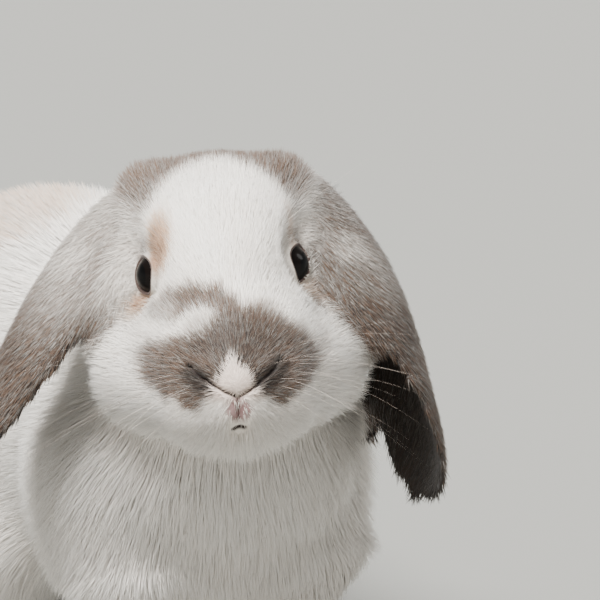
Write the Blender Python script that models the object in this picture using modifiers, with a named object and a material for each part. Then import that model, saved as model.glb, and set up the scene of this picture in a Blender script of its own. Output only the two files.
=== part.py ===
"""A life-size still model of a small lop-eared rabbit, sitting on four feet with its head turned.

Units are metres, +Z is up, and the rabbit faces -Y. "left" and "right" are the animal's own sides,
so its left is +X. The flesh is modelled as clay: balls for each muscle mass are fused into one body,
smoothed, and then parted with thin cuts at the places where a person would name the next part.
"""

import math

import bmesh
import bpy
import numpy as np
from mathutils import Matrix, Vector

# Driving dimensions of the whole animal.
EYE_HEIGHT = 0.161  # height of the midpoint between the eyes above the floor
HEAD_AHEAD = 0.100  # how far that midpoint is in front of the middle of the trunk
HEAD_ASIDE = -0.022  # the turned neck carries the head to the animal's right
HEAD_TURN = math.radians(-28)  # the head looks to the animal's right
HEAD_ROLL = math.radians(-3.5)  # its left eye is carried a little higher
SPINE_BEND = 0.7  # sideways curve of the spine behind the middle, in 1 / m
FACE_DEPTH = 0.88  # how far the face stands forward, as a share of a long-faced rabbit's
EYE_RADIUS = 0.0080
EYE_OUT = 0.0197  # from the middle of the head to an eyeball's centre
EYE_BACK = 0.0030
GAP = 0.0003  # clear space between neighbouring solids

# Fineness of the clay and of the solids made from it.
VOXEL = 0.0024
HEAD_ROUNDS, TRUNK_ROUNDS, WHOLE_ROUNDS = 14, 30, 4  # how often each lump is smoothed
BODY_TRIANGLES = 2850
EAR_TRIANGLES = 642
FINE_FACTOR = 4e-6  # how strongly the face and toes keep their triangles

TAUPE = (0.30, 0.25, 0.21)
WHITE = (0.86, 0.84, 0.80)
DARK = (0.010, 0.009, 0.009)
HORN = (0.35, 0.28, 0.22)

HEAD_POSE = (
    Matrix.Translation((HEAD_ASIDE, -HEAD_AHEAD, EYE_HEIGHT))
    @ Matrix.Rotation(HEAD_TURN, 4, "Z")
    @ Matrix.Rotation(HEAD_ROLL, 4, "Y")
)


# --------------------------------------------------------- shaping the clay


def clear_scene():
    for old in list(bpy.data.objects):
        bpy.data.objects.remove(old)


def make_collection(name):
    made = bpy.data.collections.new(name)
    bpy.context.scene.collection.children.link(made)
    return made


def make_material(name, colour, roughness):
    made = bpy.data.materials.new(name)
    made.use_nodes = True
    shader = made.node_tree.nodes["Principled BSDF"]
    shader.inputs["Base Color"].default_value = (*colour, 1.0)
    shader.inputs["Roughness"].default_value = roughness
    return made


def to_mesh(clay):
    mesh = bpy.data.meshes.new("clay")
    clay.to_mesh(mesh)
    clay.free()
    return mesh


def unit_ball():
    clay = bmesh.new()
    bmesh.ops.create_uvsphere(clay, u_segments=28, v_segments=18, radius=1.0)
    return to_mesh(clay)


BALL = unit_ball()


def ball(clay, at, radii, tilt=0.0, turn=0.0, both=False):
    """Adds an ellipsoid to the clay. tilt leans it about X, turn about Z, and both adds its mirror image."""
    for side in (1, -1) if both else (1,):
        place = (
            Matrix.Translation((side * at[0], at[1], at[2]))
            @ Matrix.Rotation(side * math.radians(turn), 4, "Z")
            @ Matrix.Rotation(math.radians(tilt), 4, "X")
            @ Matrix.Diagonal((*radii, 1.0))
        )
        mesh = BALL.copy()
        mesh.transform(place)
        clay.from_mesh(mesh)
        bpy.data.meshes.remove(mesh)


def limb(clay, stations, steps=7, both=False):
    """Adds a tapered limb: a run of balls through stations of (x, y, z, radius)."""
    for start, end in zip(stations, stations[1:]):
        for step in range(steps + 1):
            x, y, z, radius = (a + (b - a) * step / steps for a, b in zip(start, end))
            ball(clay, (x, y, z), (radius, radius, radius), both=both)


def fused(clay, rounds):
    """The clay's balls as one smooth closed mesh."""
    lump = bpy.data.objects.new("clay", to_mesh(clay))
    bpy.context.scene.collection.objects.link(lump)
    remesh = lump.modifiers.new("fuse", "REMESH")
    remesh.mode = "VOXEL"
    remesh.voxel_size = VOXEL
    smooth = lump.modifiers.new("smooth", "SMOOTH")
    smooth.factor = 0.5
    smooth.iterations = rounds
    return baked(lump)


def baked(lump):
    """A plain mesh of the object as its modifiers show it. The object is removed."""
    seen = lump.evaluated_get(bpy.context.evaluated_depsgraph_get())
    mesh = bpy.data.meshes.new_from_object(seen)
    bpy.data.objects.remove(lump)
    return mesh


def lightened(mesh, triangles, fine=None):
    """The mesh reduced to about this many triangles. Where fine(point) is true, more of them are kept."""
    lump = bpy.data.objects.new("lump", mesh)
    bpy.context.scene.collection.objects.link(lump)
    faces = sum(len(face.vertices) - 2 for face in mesh.polygons)
    fewer = lump.modifiers.new("fewer", "DECIMATE")
    fewer.ratio = triangles / faces
    if fine:
        group = lump.vertex_groups.new(name="thinning")
        for vertex in mesh.vertices:
            group.add([vertex.index], 0.5 if fine(vertex.co) else 1.0, "REPLACE")
        fewer.vertex_group = group.name
        fewer.vertex_group_factor = FINE_FACTOR
    return baked(lump)


def combined(mesh, other, operation):
    """The mesh with the other mesh cut from it, kept in common with it, or joined to it."""
    lump = bpy.data.objects.new("lump", mesh)
    cutter = bpy.data.objects.new("cutter", other)
    for each in (lump, cutter):
        bpy.context.scene.collection.objects.link(each)
    cut = lump.modifiers.new("cut", "BOOLEAN")
    cut.operation = operation
    cut.solver = "EXACT"
    cut.object = cutter
    made = baked(lump)
    bpy.data.objects.remove(cutter)
    return made


def grown(mesh, amount):
    """A copy of the mesh with its surface moved out by amount."""
    copy = mesh.copy()
    for vertex in copy.vertices:
        vertex.co += mesh.vertices[vertex.index].normal * amount
    return copy


def box(low, high):
    """A zone between two corners, as a function that gives its mesh when grown by a distance."""

    def zone(extra):
        clay = bmesh.new()
        size = [h - l + 2 * extra for l, h in zip(low, high)]
        middle = [(l + h) / 2 for l, h in zip(low, high)]
        place = Matrix.Translation(middle) @ Matrix.Diagonal((*size, 1.0))
        bmesh.ops.create_cube(clay, size=1.0, matrix=place)
        return to_mesh(clay)

    return zone


def egg(at, radii, pose=Matrix.Identity(4)):
    """An ellipsoidal zone, as a function that gives its mesh when grown by a distance."""

    def zone(extra):
        clay = bmesh.new()
        size = [radius + extra for radius in radii]
        place = pose @ Matrix.Translation(at) @ Matrix.Diagonal((*size, 1.0))
        bmesh.ops.create_icosphere(clay, subdivisions=2, radius=1.0, matrix=place)
        return to_mesh(clay)

    return zone


def parted(mesh, zone):
    """The mesh inside the zone and the mesh outside it, with a thin gap between the two."""
    inside = largest(combined(mesh, zone(0.0), "INTERSECT"))
    outside = largest(combined(mesh, zone(GAP), "DIFFERENCE"))
    return inside, outside


def largest(mesh):
    """The biggest body of the mesh, without any crumbs that a cut left beside it."""
    clay = bmesh.new()
    clay.from_mesh(mesh)
    unseen, best = set(clay.verts), set()
    while unseen:
        island, front = set(), [next(iter(unseen))]
        while front:
            vertex = front.pop()
            if vertex not in island:
                island.add(vertex)
                front += [edge.other_vert(vertex) for edge in vertex.link_edges]
        unseen -= island
        best = max(best, island, key=len)
    bmesh.ops.delete(clay, geom=[vertex for vertex in clay.verts if vertex not in best], context="VERTS")
    return to_mesh(clay)


def floored(mesh):
    """The mesh with all that is below the floor cut off, which leaves flats under the feet."""
    clay = bmesh.new()
    clay.from_mesh(mesh)
    geometry = [*clay.verts, *clay.edges, *clay.faces]
    bmesh.ops.bisect_plane(clay, geom=geometry, plane_co=(0, 0, 0), plane_no=(0, 0, -1), clear_outer=True)
    rim = [edge for edge in clay.edges if edge.is_boundary]
    bmesh.ops.holes_fill(clay, edges=rim)
    bmesh.ops.triangulate(clay, faces=list(clay.faces))
    return to_mesh(clay)


# ------------------------------------------------------------------- the head


def head_clay():
    """The head in its own frame: the middle between the eyes is the origin, and the nose points along -Y."""
    clay = bmesh.new()
    ball(clay, (0, 0.020, 0.006), (0.0305, 0.0360, 0.0310))  # braincase
    ball(clay, (0, -0.002, 0.010), (0.0240, 0.0220, 0.0205))  # forehead
    ball(clay, (0.0200, 0.026, 0.0195), (0.0150, 0.0160, 0.0160), both=True)  # roots of the ears
    ball(clay, (0.0270, 0.030, 0.0090), (0.0110, 0.0140, 0.0150), both=True)
    ball(clay, (0.0140, 0.001, 0.0100), (0.0130, 0.0150, 0.0105), both=True)  # brows
    ball(clay, (0, -0.012, 0.0020), (0.0200, 0.0200, 0.0180))  # between the eyes
    ball(clay, (0, -0.016, -0.0080), (0.0180, 0.0300, 0.0170), tilt=33)  # bridge of the nose
    ball(clay, (0, -0.030, -0.0190), (0.0170, 0.0180, 0.0150), tilt=33)
    ball(clay, (0.0140, -0.008, -0.0140), (0.0150, 0.0210, 0.0150), both=True)  # below the eyes
    ball(clay, (0.0240, 0.020, -0.0180), (0.0150, 0.0230, 0.0190), both=True)
    ball(clay, (0.0110, -0.022, -0.0190), (0.0150, 0.0200, 0.0155), both=True)  # sides of the muzzle
    ball(clay, (0.0095, -0.0350, -0.0340), (0.0165, 0.0170, 0.0135), turn=12, both=True)  # whisker pads
    ball(clay, (0, -0.0370, -0.0285), (0.0130, 0.0165, 0.0140))  # root of the nose
    ball(clay, (0, -0.0310, -0.0420), (0.0160, 0.0160, 0.0095))  # chin
    ball(clay, (0.0250, 0.008, -0.0320), (0.0220, 0.0285, 0.0205), both=True)  # cheeks
    ball(clay, (0.0190, -0.012, -0.0310), (0.0195, 0.0230, 0.0180), both=True)
    ball(clay, (0, 0.002, -0.0340), (0.0300, 0.0320, 0.0180))  # jaw
    ball(clay, (0, 0.036, 0.0000), (0.0300, 0.0240, 0.0285))  # nape
    return pushed_in(clay)


def pushed_in(clay):
    """The clay with all that is in front of the eyes drawn back, as in a short-faced breed."""
    for vertex in clay.verts:
        vertex.co.y *= FACE_DEPTH if vertex.co.y < 0 else 1.0
    return clay


def nose_clay():
    """The nose pad and the two upper lips below it. They are too small for the head's own smoothing."""
    clay = bmesh.new()
    ball(clay, (0, -0.0470, -0.0285), (0.0075, 0.0055, 0.0050))
    ball(clay, (0.0058, -0.0450, -0.0365), (0.0075, 0.0070, 0.0060), both=True)
    return pushed_in(clay)


def eyeball(side, radius):
    clay = bmesh.new()
    bmesh.ops.create_uvsphere(clay, u_segments=16, v_segments=10, radius=radius)
    outward = Vector((side, -0.33, 0.10)).to_track_quat("Z", "Y").to_matrix().to_4x4()
    place = HEAD_POSE @ Matrix.Translation((side * EYE_OUT, EYE_BACK, 0.0)) @ outward
    bmesh.ops.transform(clay, matrix=place, verts=clay.verts)
    return to_mesh(clay)


# -------------------------------------------------------------------- the ears

EAR_ROWS, EAR_COLUMNS = 13, 9
EAR_THICK = 0.0046
EAR_DEEP = 0.0125  # from the gutter's open side to its back
EAR_WIDE = {1: 0.0270, -1: 0.0230}  # half the width across the gutter
EAR_FOLD = {1: 0.0275, -1: 0.0160}  # how far the hind rim folds in towards the cheek
EAR_TUCK = {1: 0.0070, -1: 0.0}  # how far the front rim does
# How far, in degrees, the back of the ear faces behind at its root and at its tip.
EAR_TWIST = {1: (-36, 40), -1: (-36, -10)}
# The line down the middle of each ear's gutter, in the head's frame, from its root to its tip.
EAR_LINES = {
    1: ((0.012, 0.026, 0.014), (0.0255, 0.028, 0.0105), (0.0440, 0.025, -0.0095),
        (0.0535, 0.019, -0.041), (0.0605, 0.012, -0.0885)),
    -1: ((-0.012, 0.026, 0.014), (-0.0260, 0.028, 0.0095), (-0.0470, 0.023, -0.0085),
         (-0.066, 0.014, -0.036), (-0.0850, 0.004, -0.069)),
}


def along(line, share):
    """A point on the smooth curve through the line's points, and the curve's direction there."""
    points = [Vector(point) for point in line]
    ends = [points[0] * 2 - points[1], *points, points[-1] * 2 - points[-2]]
    spot = min(share, 0.9999) * (len(points) - 1)
    first = int(spot)
    t = spot - first
    a, b, c, d = ends[first : first + 4]
    place = 0.5 * (2 * b + (c - a) * t + (2 * a - 5 * b + 4 * c - d) * t**2 + (3 * b - a - 3 * c + d) * t**3)
    slope = 0.5 * ((c - a) + 2 * (2 * a - 5 * b + 4 * c - d) * t + 3 * (3 * b - a - 3 * c + d) * t**2)
    return place, slope.normalized()


def ear_point(side, down, across):
    """A point of the ear's sheet. down: 0 at the root to 1 at the tip. across: -1 behind to 1 in front."""
    middle, tangent = along(EAR_LINES[side], down)
    upper, lower = EAR_TWIST[side]
    twist = math.radians(upper + (lower - upper) * down**3)
    outward = Vector((side * math.cos(twist), math.sin(twist), 0.0))
    outward = (outward - tangent * outward.dot(tangent)).normalized()
    forward = outward.cross(tangent).normalized()
    if forward.y > 0:
        forward = -forward
    rise = min(1.0, down / 0.45)
    wide = EAR_WIDE[side] * (0.55 + 0.45 * math.sin(0.5 * math.pi * rise))
    close = math.sqrt(max(0.0, 1 - max(0.0, (down - 0.58) / 0.42) ** 2.2))
    wide *= 0.16 + 0.84 * close
    deep = EAR_DEEP * (0.35 + 0.65 * close)
    angle = across * math.radians(105 - 30 * down)
    hang = math.sin(math.pi * min(1.0, max(0.0, (down - 0.16) / 0.78)))
    fold = EAR_FOLD[side] * hang * min(0.0, across) ** 2
    tuck = math.sin(math.pi * min(1.0, max(0.0, (down - 0.15) / 0.60)))
    fold += EAR_TUCK[side] * tuck * max(0.0, across) ** 2
    return middle + (deep * math.cos(angle) - fold) * outward + wide * math.sin(angle) * forward


def ear(side):
    """One lop ear: a gutter of thin gristle and fur that opens towards the cheek."""
    sheet = bmesh.new()
    rows = []
    for row in range(EAR_ROWS):
        down = 1 - (1 - row / (EAR_ROWS - 1)) ** 1.25
        rows.append([
            sheet.verts.new(ear_point(side, down, 2 * column / (EAR_COLUMNS - 1) - 1))
            for column in range(EAR_COLUMNS)
        ])
    for upper, lower in zip(rows, rows[1:]):
        for column in range(EAR_COLUMNS - 1):
            sheet.faces.new((upper[column], upper[column + 1], lower[column + 1], lower[column]))
    bmesh.ops.recalc_face_normals(sheet, faces=list(sheet.faces))
    lump = bpy.data.objects.new("ear", to_mesh(sheet))
    bpy.context.scene.collection.objects.link(lump)
    solid = lump.modifiers.new("thick", "SOLIDIFY")
    solid.thickness = EAR_THICK
    solid.offset = 0.0
    soft = lump.modifiers.new("soft", "SUBSURF")
    soft.levels = soft.render_levels = 1
    mesh = baked(lump)
    mesh.transform(HEAD_POSE)
    return mesh


# -------------------------------------------------------------------- the body

# The trunk's cross-sections from breast to buttocks: (y, middle height, half width, half height).
TRUNK = (
    (-0.078, 0.090, 0.040, 0.042),
    (-0.055, 0.095, 0.049, 0.054),
    (-0.025, 0.094, 0.053, 0.061),
    (0.010, 0.094, 0.057, 0.072),
    (0.045, 0.092, 0.060, 0.081),
    (0.080, 0.0865, 0.061, 0.0805),
    (0.110, 0.073, 0.055, 0.066),
    (0.132, 0.060, 0.041, 0.048),
)
TRUNK_STEP = 0.022  # half length of each section's ball


def bent(x, y, z):
    """The place of a point once the spine is curved to the animal's right behind its middle."""
    return (x - SPINE_BEND * max(0.0, y) ** 2, y, z)


def barrel(clay, sections, balls=44):
    """A smooth barrel through the cross-sections, as a row of flattened balls."""
    shape = [(y, z, wide) for y, z, wide, _ in sections]
    height = [(y, tall, 0) for y, _, _, tall in sections]
    for step in range(balls + 1):
        y, z, wide = along(shape, step / balls)[0]
        tall = along(height, step / balls)[0][1]
        ball(clay, (0, y, z), (wide, TRUNK_STEP, tall))


def trunk_clay():
    clay = bmesh.new()
    barrel(clay, TRUNK)
    ball(clay, (-0.003, -0.078, 0.096), (0.048, 0.030, 0.040))  # ruff
    ball(clay, (0, -0.068, 0.066), (0.044, 0.028, 0.027))  # breast
    ball(clay, (0.035, -0.048, 0.080), (0.031, 0.038, 0.044), both=True)  # shoulders
    ball(clay, (0.034, -0.062, 0.058), (0.026, 0.026, 0.027), both=True)  # upper arms
    ball(clay, (0.041, 0.064, 0.062), (0.034, 0.056, 0.056), turn=-7, both=True)  # thighs
    ball(clay, (0.044, 0.030, 0.046), (0.026, 0.034, 0.036), turn=-7, both=True)  # knees
    limb(clay, [(-0.001, -0.045, 0.116, 0.042), (-0.009, -0.070, 0.146, 0.036)])  # neck
    return clay


# Each toe is (sideways from the foot's middle, further ahead than the outer toes), and foot sizes follow.
TOES = [((toe - 1.5) * 0.0068, 0.0035 * math.cos((toe - 1.5) * 0.9)) for toe in range(4)]
FORE_TOE = (0.0225, -0.101, 0.0040, 0.0045)  # the last knuckle of a toe in the paw's middle, and its radius
HIND_TOE = (0.0560, 0.018, 0.0044, 0.0050)
CLAW_LONG = 0.0085
CLAW_THICK = 0.0014


def leg_clay(clay):
    limb(clay, [(0.027, -0.068, 0.052, 0.018), (0.024, -0.0745, 0.024, 0.0128)], both=True)  # forearms
    limb(clay, [(0.024, -0.0745, 0.022, 0.0128), (0.0225, -0.087, 0.008, 0.0112)], both=True)  # wrists
    limb(clay, [(0.047, 0.092, 0.012, 0.0140), (0.055, 0.040, 0.009, 0.0130)], steps=18, both=True)  # hind feet
    for x, y, z, radius in (FORE_TOE, HIND_TOE):
        for aside, ahead in TOES:
            root = (x + aside * 0.7, y + 0.014, z + 0.0030, radius * 1.5)
            limb(clay, [root, (x + aside, y - ahead, z, radius)], steps=5, both=True)
    limb(clay, [(0, 0.134, 0.042, 0.017), (0, 0.150, 0.058, 0.0200), (0, 0.1565, 0.076, 0.0150),
                (0, 0.159, 0.089, 0.0095)])  # tail


def claw(toe, aside, ahead, side, extra=0.0):
    """A short curved claw that grows from the end of a toe."""
    x, y, z, radius = toe
    clay = bmesh.new()
    cone = bmesh.ops.create_cone(
        clay,
        cap_ends=True,
        segments=8,
        radius1=CLAW_THICK + extra,
        radius2=0.0003 + extra,
        depth=CLAW_LONG + 2 * extra,
        matrix=Matrix.Rotation(math.radians(97), 4, "X"),
    )
    bmesh.ops.translate(clay, vec=(side * (x + aside), y - ahead - radius, z - 0.0002), verts=cone["verts"])
    return to_mesh(clay)


def is_fine(point):
    """Whether a point of the skin is on the face or the toes."""
    face = point.y < -0.075 and point.z > 0.110
    toes = point.z < 0.014 and (point.y < -0.088 or (point.y < 0.034 and abs(point.x) > 0.030))
    return face or toes


def whole_body():
    """The head, trunk, legs and tail as one closed skin, still without ears, eyes or claws."""
    face = nose_clay()
    face.from_mesh(fused(head_clay(), HEAD_ROUNDS))
    head = to_mesh(face)
    head.transform(HEAD_POSE)
    clay = bmesh.new()
    leg_clay(clay)
    clay.from_mesh(fused(trunk_clay(), TRUNK_ROUNDS))
    for vertex in clay.verts:
        vertex.co = bent(*vertex.co)
    clay.from_mesh(head)
    return floored(lightened(fused(clay, WHOLE_ROUNDS), BODY_TRIANGLES, is_fine))


# Where the body is parted. A zone named for a side is mirrored for the other side.
PAW_TOP, FOOT_TOP = 0.020, 0.019


def sided(side, low, high):
    """A box zone given for the left side, moved to the side asked for."""
    spans = sorted((side * low[0], side * high[0]))
    return box((spans[0], *low[1:]), (spans[1], *high[1:]))


def cut_up(whole):
    """The body's mesh as a dictionary of named parts."""
    parts = {}
    rest = whole
    for side, name in ((1, "left"), (-1, "right")):
        paw = sided(side, (0.001, -0.150, -0.010), (0.090, -0.030, PAW_TOP))
        parts[f"forepaw_{name}"], rest = parted(rest, paw)
        parts[f"foreleg_{name}"], rest = parted(rest, egg((side * 0.036, -0.066, 0.030), (0.034, 0.046, 0.040)))
        foot = sided(side, (0.033, -0.010, -0.010), (0.100, 0.112, FOOT_TOP))
        parts[f"hind_foot_{name}"], rest = parted(rest, foot)
        x, y, z = bent(side * 0.066, 0.060, 0.060)
        parts[f"thigh_{name}"], rest = parted(rest, egg((x, y, z), (0.040, 0.068, 0.064)))
    x, y, z = bent(0, 0.174, 0.060)
    parts["tail"], rest = parted(rest, egg((x, y, z), (0.040, 0.036, 0.060)))
    parts["head"], rest = parted(rest, egg((0, -0.020, 0.004), (0.080, 0.064, 0.062), HEAD_POSE))
    parts["neck"], rest = parted(rest, egg((-0.008, -0.058, 0.150), (0.062, 0.056, 0.050)))
    parts["chest"], rest = parted(rest, box((-0.100, -0.200, -0.010), (0.100, -0.036, 0.250)))
    parts["rump"], parts["trunk"] = parted(rest, box((-0.200, 0.082, -0.010), (0.100, 0.250, 0.250)))
    return parts


def show(name, mesh, material, collection):
    mesh.name = name
    mesh.materials.clear()
    mesh.materials.append(material)
    mesh.shade_smooth()
    made = bpy.data.objects.new(name, mesh)
    collection.objects.link(made)
    return made


def centred(collection):
    """Moves all the parts together, so that the origin is on the floor in the middle of their outer box."""
    corners = np.array([vertex.co for each in collection.objects for vertex in each.data.vertices])
    middle = (corners.min(axis=0) + corners.max(axis=0)) / 2
    for each in collection.objects:
        each.data.transform(Matrix.Translation((-middle[0], -middle[1], 0.0)))


def main():
    clear_scene()
    rabbit = make_collection("rabbit")
    fur = make_material("fur", WHITE, 0.8)
    ear_fur = make_material("ear_fur", TAUPE, 0.8)
    wet_black = make_material("eye", DARK, 0.05)
    horn = make_material("claw", HORN, 0.4)
    whole = whole_body()
    shell = grown(whole, GAP)
    parts = cut_up(whole)
    for side, name in ((1, "left"), (-1, "right")):
        parts["head"] = combined(parts["head"], eyeball(side, EYE_RADIUS + GAP), "DIFFERENCE")
        show(f"eye_{name}", eyeball(side, EYE_RADIUS), wet_black, rabbit)
        own = lightened(ear(side), EAR_TRIANGLES)
        own = largest(combined(own, shell.copy(), "DIFFERENCE"))
        show(f"ear_{name}", own, ear_fur, rabbit)
        for foot, toe in (("forepaw", FORE_TOE), ("hind_foot", HIND_TOE)):
            for number, (aside, ahead) in enumerate(TOES, 1):
                paw = parts[f"{foot}_{name}"]
                parts[f"{foot}_{name}"] = combined(paw, claw(toe, aside, ahead, side, GAP), "DIFFERENCE")
                show(f"claw_{foot}_{name}_{number}", claw(toe, aside, ahead, side), horn, rabbit)
    for name, mesh in parts.items():
        show(name, mesh, fur, rabbit)
    centred(rabbit)


main()
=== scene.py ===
# %% [markdown]
# # A small lop-eared rabbit
# A still, life-size model of a young lop-eared rabbit: white, with grey-brown ears, crown and nose.
# The frame holds the animal as solid pieces at their real size. This lesson dresses it: one skin under
# the coat, the eyes, the claws, the coat itself laid tuft by tuft, and the whiskers.
# Everything is placed from the frame, so that the looks can't drift away from the solids.

# %% The frame
import math

import bmesh
import bpy
import numpy as np
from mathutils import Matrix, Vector, noise
from mathutils.bvhtree import BVHTree
from mathutils.kdtree import KDTree


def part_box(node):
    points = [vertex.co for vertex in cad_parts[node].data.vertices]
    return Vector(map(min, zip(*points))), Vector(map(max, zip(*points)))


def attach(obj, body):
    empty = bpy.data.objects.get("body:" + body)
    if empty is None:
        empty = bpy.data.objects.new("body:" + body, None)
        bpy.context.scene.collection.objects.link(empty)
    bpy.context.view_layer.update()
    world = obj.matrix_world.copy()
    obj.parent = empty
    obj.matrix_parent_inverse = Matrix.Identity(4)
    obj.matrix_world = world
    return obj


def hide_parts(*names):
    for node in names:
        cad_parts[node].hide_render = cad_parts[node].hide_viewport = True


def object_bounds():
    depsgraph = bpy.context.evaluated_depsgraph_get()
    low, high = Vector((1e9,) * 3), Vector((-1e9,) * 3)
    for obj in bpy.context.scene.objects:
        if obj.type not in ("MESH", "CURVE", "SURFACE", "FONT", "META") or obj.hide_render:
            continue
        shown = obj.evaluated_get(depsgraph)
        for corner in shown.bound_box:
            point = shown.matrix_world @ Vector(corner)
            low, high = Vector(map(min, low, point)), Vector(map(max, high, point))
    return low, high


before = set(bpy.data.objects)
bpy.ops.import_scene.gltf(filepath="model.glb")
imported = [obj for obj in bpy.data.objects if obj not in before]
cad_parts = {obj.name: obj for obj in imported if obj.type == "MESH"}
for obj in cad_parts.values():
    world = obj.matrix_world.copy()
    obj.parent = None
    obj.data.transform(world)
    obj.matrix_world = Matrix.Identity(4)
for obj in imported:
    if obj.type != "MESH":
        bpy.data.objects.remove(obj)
cad_low, cad_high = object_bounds()
MM = 0.001
FLESH = sorted(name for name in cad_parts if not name.startswith(("eye", "claw")))
CLAWS = sorted(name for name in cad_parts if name.startswith("claw"))
EYES = {1: "eye_left", -1: "eye_right"}  # by side: 1 is the animal's left, and -1 its right
EARS = {1: "ear_left", -1: "ear_right"}
print(len(FLESH), "nodes of flesh and", len(CLAWS), "claws")

# %% [markdown]
# ## The head's own axes
# The head is turned and tilted, so its marks and folds are easiest to place in the head's own axes:
# x to the animal's left, y to the back of the skull, z up, with zero between the eyes. The two eyeballs
# fix those axes, and the frame says where they are.

# %% The head's own axes
UP = np.array((0.0, 0.0, 1.0))
EYE_BACK = 3.0 * MM


def unit(vectors):
    """The vectors, each made one long."""
    lengths = np.linalg.norm(vectors, axis=-1, keepdims=True)
    return vectors / np.maximum(lengths, 1e-12)


def middle(node):
    """The middle of a node of the frame."""
    low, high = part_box(node)
    return np.array((low + high) / 2)


EYE_AT = {side: middle(name) for side, name in EYES.items()}
HEAD_ACROSS = unit(EYE_AT[1] - EYE_AT[-1])
HEAD_BACK = unit(np.cross(UP, HEAD_ACROSS))
HEAD_UP = np.cross(HEAD_ACROSS, HEAD_BACK)
HEAD_AXES = np.array((HEAD_ACROSS, HEAD_BACK, HEAD_UP))
HEAD_AT = (EYE_AT[1] + EYE_AT[-1]) / 2 - EYE_BACK * HEAD_BACK


def in_head(points):
    """Points of the row frame in the head's axes, in millimetres."""
    return (points - HEAD_AT) @ HEAD_AXES.T / MM


def from_head(points):
    """Points in the head's axes, in millimetres, back in the row frame."""
    return HEAD_AT + np.asarray(points) * MM @ HEAD_AXES


print("between the eyes:", np.round(HEAD_AT, 4))

# %% [markdown]
# ## Reading and moving a mesh
# The skin is shaped by arithmetic on all its points at once, which numpy does quickly. `relaxed`
# spreads any value along the mesh's edges: it softens the surface when it is given the places, and it
# blends one part's coat into the next when it is given the coat's lengths and directions.

# %% Reading and moving a mesh
def read(data, field, width=1, kind=np.float32):
    """One field of a mesh's points, edges or faces, as an array."""
    flat = np.empty(len(data) * width, kind)
    data.foreach_get(field, flat)
    return flat.reshape(-1, width) if width > 1 else flat


def places(mesh):
    """Where the mesh's points are."""
    return read(mesh.vertices, "co", 3).astype(float)


def move_to(mesh, points):
    """Puts the mesh's points at these places."""
    mesh.vertices.foreach_set("co", points.astype(np.float32).ravel())
    mesh.update()


def normals(mesh):
    """Which way the surface faces at each point."""
    return read(mesh.vertex_normals, "vector", 3).astype(float)


def edges_of(mesh):
    """The two points that each edge joins."""
    return read(mesh.edges, "vertices", 2, np.int32)


def flat_on(vectors, out):
    """The part of each vector that lies flat on a surface facing out."""
    return vectors - out * np.sum(vectors * out, axis=1, keepdims=True)


def triangle_count(mesh):
    """How many triangles the mesh's faces make."""
    return sum(len(face.vertices) - 2 for face in mesh.polygons)


def relaxed(values, edges, rounds, share=0.5):
    """The values moved, round by round, towards the mean of their neighbours'."""
    values = np.array(values, float)
    columns = values.reshape(len(values), -1)
    degree = np.bincount(edges.ravel(), minlength=len(values))[:, None]
    for _ in range(rounds):
        total = np.zeros_like(columns)
        for i in range(columns.shape[1]):
            total[:, i] += np.bincount(edges[:, 0], columns[edges[:, 1], i], len(values))
            total[:, i] += np.bincount(edges[:, 1], columns[edges[:, 0], i], len(values))
        columns += share * (total / np.maximum(degree, 1) - columns)
    return columns.reshape(values.shape)


def ramp(low, high, values):
    """0 below low, 1 above high, and a smooth rise between them."""
    t = np.clip((values - low) / (high - low), 0, 1)
    return t * t * (3 - 2 * t)


def keep_value(mesh, name, values):
    """Stores one number or one vector for each point of the mesh."""
    vector = values.ndim == 2
    layer = mesh.attributes.new(name, "FLOAT_VECTOR" if vector else "FLOAT", "POINT")
    layer.data.foreach_set("vector" if vector else "value", values.astype(np.float32).ravel())


def shown(mesh, name):
    """A new object for the mesh, at the origin."""
    mesh.name = name
    piece = bpy.data.objects.new(name, mesh)
    bpy.context.scene.collection.objects.link(piece)
    return piece


def baked(piece):
    """The piece's mesh with its modifiers in it, as a new mesh. The piece goes away."""
    graph = bpy.context.evaluated_depsgraph_get()
    made = piece.evaluated_get(graph)
    mesh = bpy.data.meshes.new_from_object(made, preserve_all_data_layers=True, depsgraph=graph)
    bpy.data.objects.remove(piece)
    return mesh


# %% [markdown]
# ## The skin, closed over all the flesh
# A real rabbit has one skin, and the frame has many solids with hair-thin gaps between them. Copies of
# the solids are swollen by 0.4 mm, which closes the gaps, and a voxel remesh wraps all of them in one
# closed surface. The eyeballs go in too, so that the sockets are filled before the lids are shaped.

# %% The skin, closed over all the flesh
SWELL = 0.4 * MM
FIRST_VOXEL = 2.0 * MM
SKIN_VOXEL = 1.7 * MM


def welded(name, swell):
    """A copy of a node's mesh with its loose triangles joined, grown by swell."""
    work = bmesh.new()
    work.from_mesh(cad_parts[name].data)
    bmesh.ops.remove_doubles(work, verts=work.verts, dist=1e-6)
    work.normal_update()
    for vert in work.verts:
        vert.co += vert.normal * swell
    mesh = bpy.data.meshes.new(name + "_copy")
    work.to_mesh(mesh)
    work.free()
    return mesh


def wrapped(mesh, voxel):
    """One closed surface round everything in the mesh."""
    piece = shown(mesh, "wrap")
    remesh = piece.modifiers.new("wrap", "REMESH")
    remesh.mode = "VOXEL"
    remesh.voxel_size = voxel
    return baked(piece)


def copied(names, swell):
    """The welded copies of these nodes as one mesh."""
    work = bmesh.new()
    for name in names:
        copy = welded(name, swell)
        work.from_mesh(copy)
        bpy.data.meshes.remove(copy)
    mesh = bpy.data.meshes.new("copies")
    work.to_mesh(mesh)
    work.free()
    return mesh


skin_mesh = wrapped(copied(FLESH + list(EYES.values()), SWELL), FIRST_VOXEL)
print("first wrap:", len(skin_mesh.vertices), "points")

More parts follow.
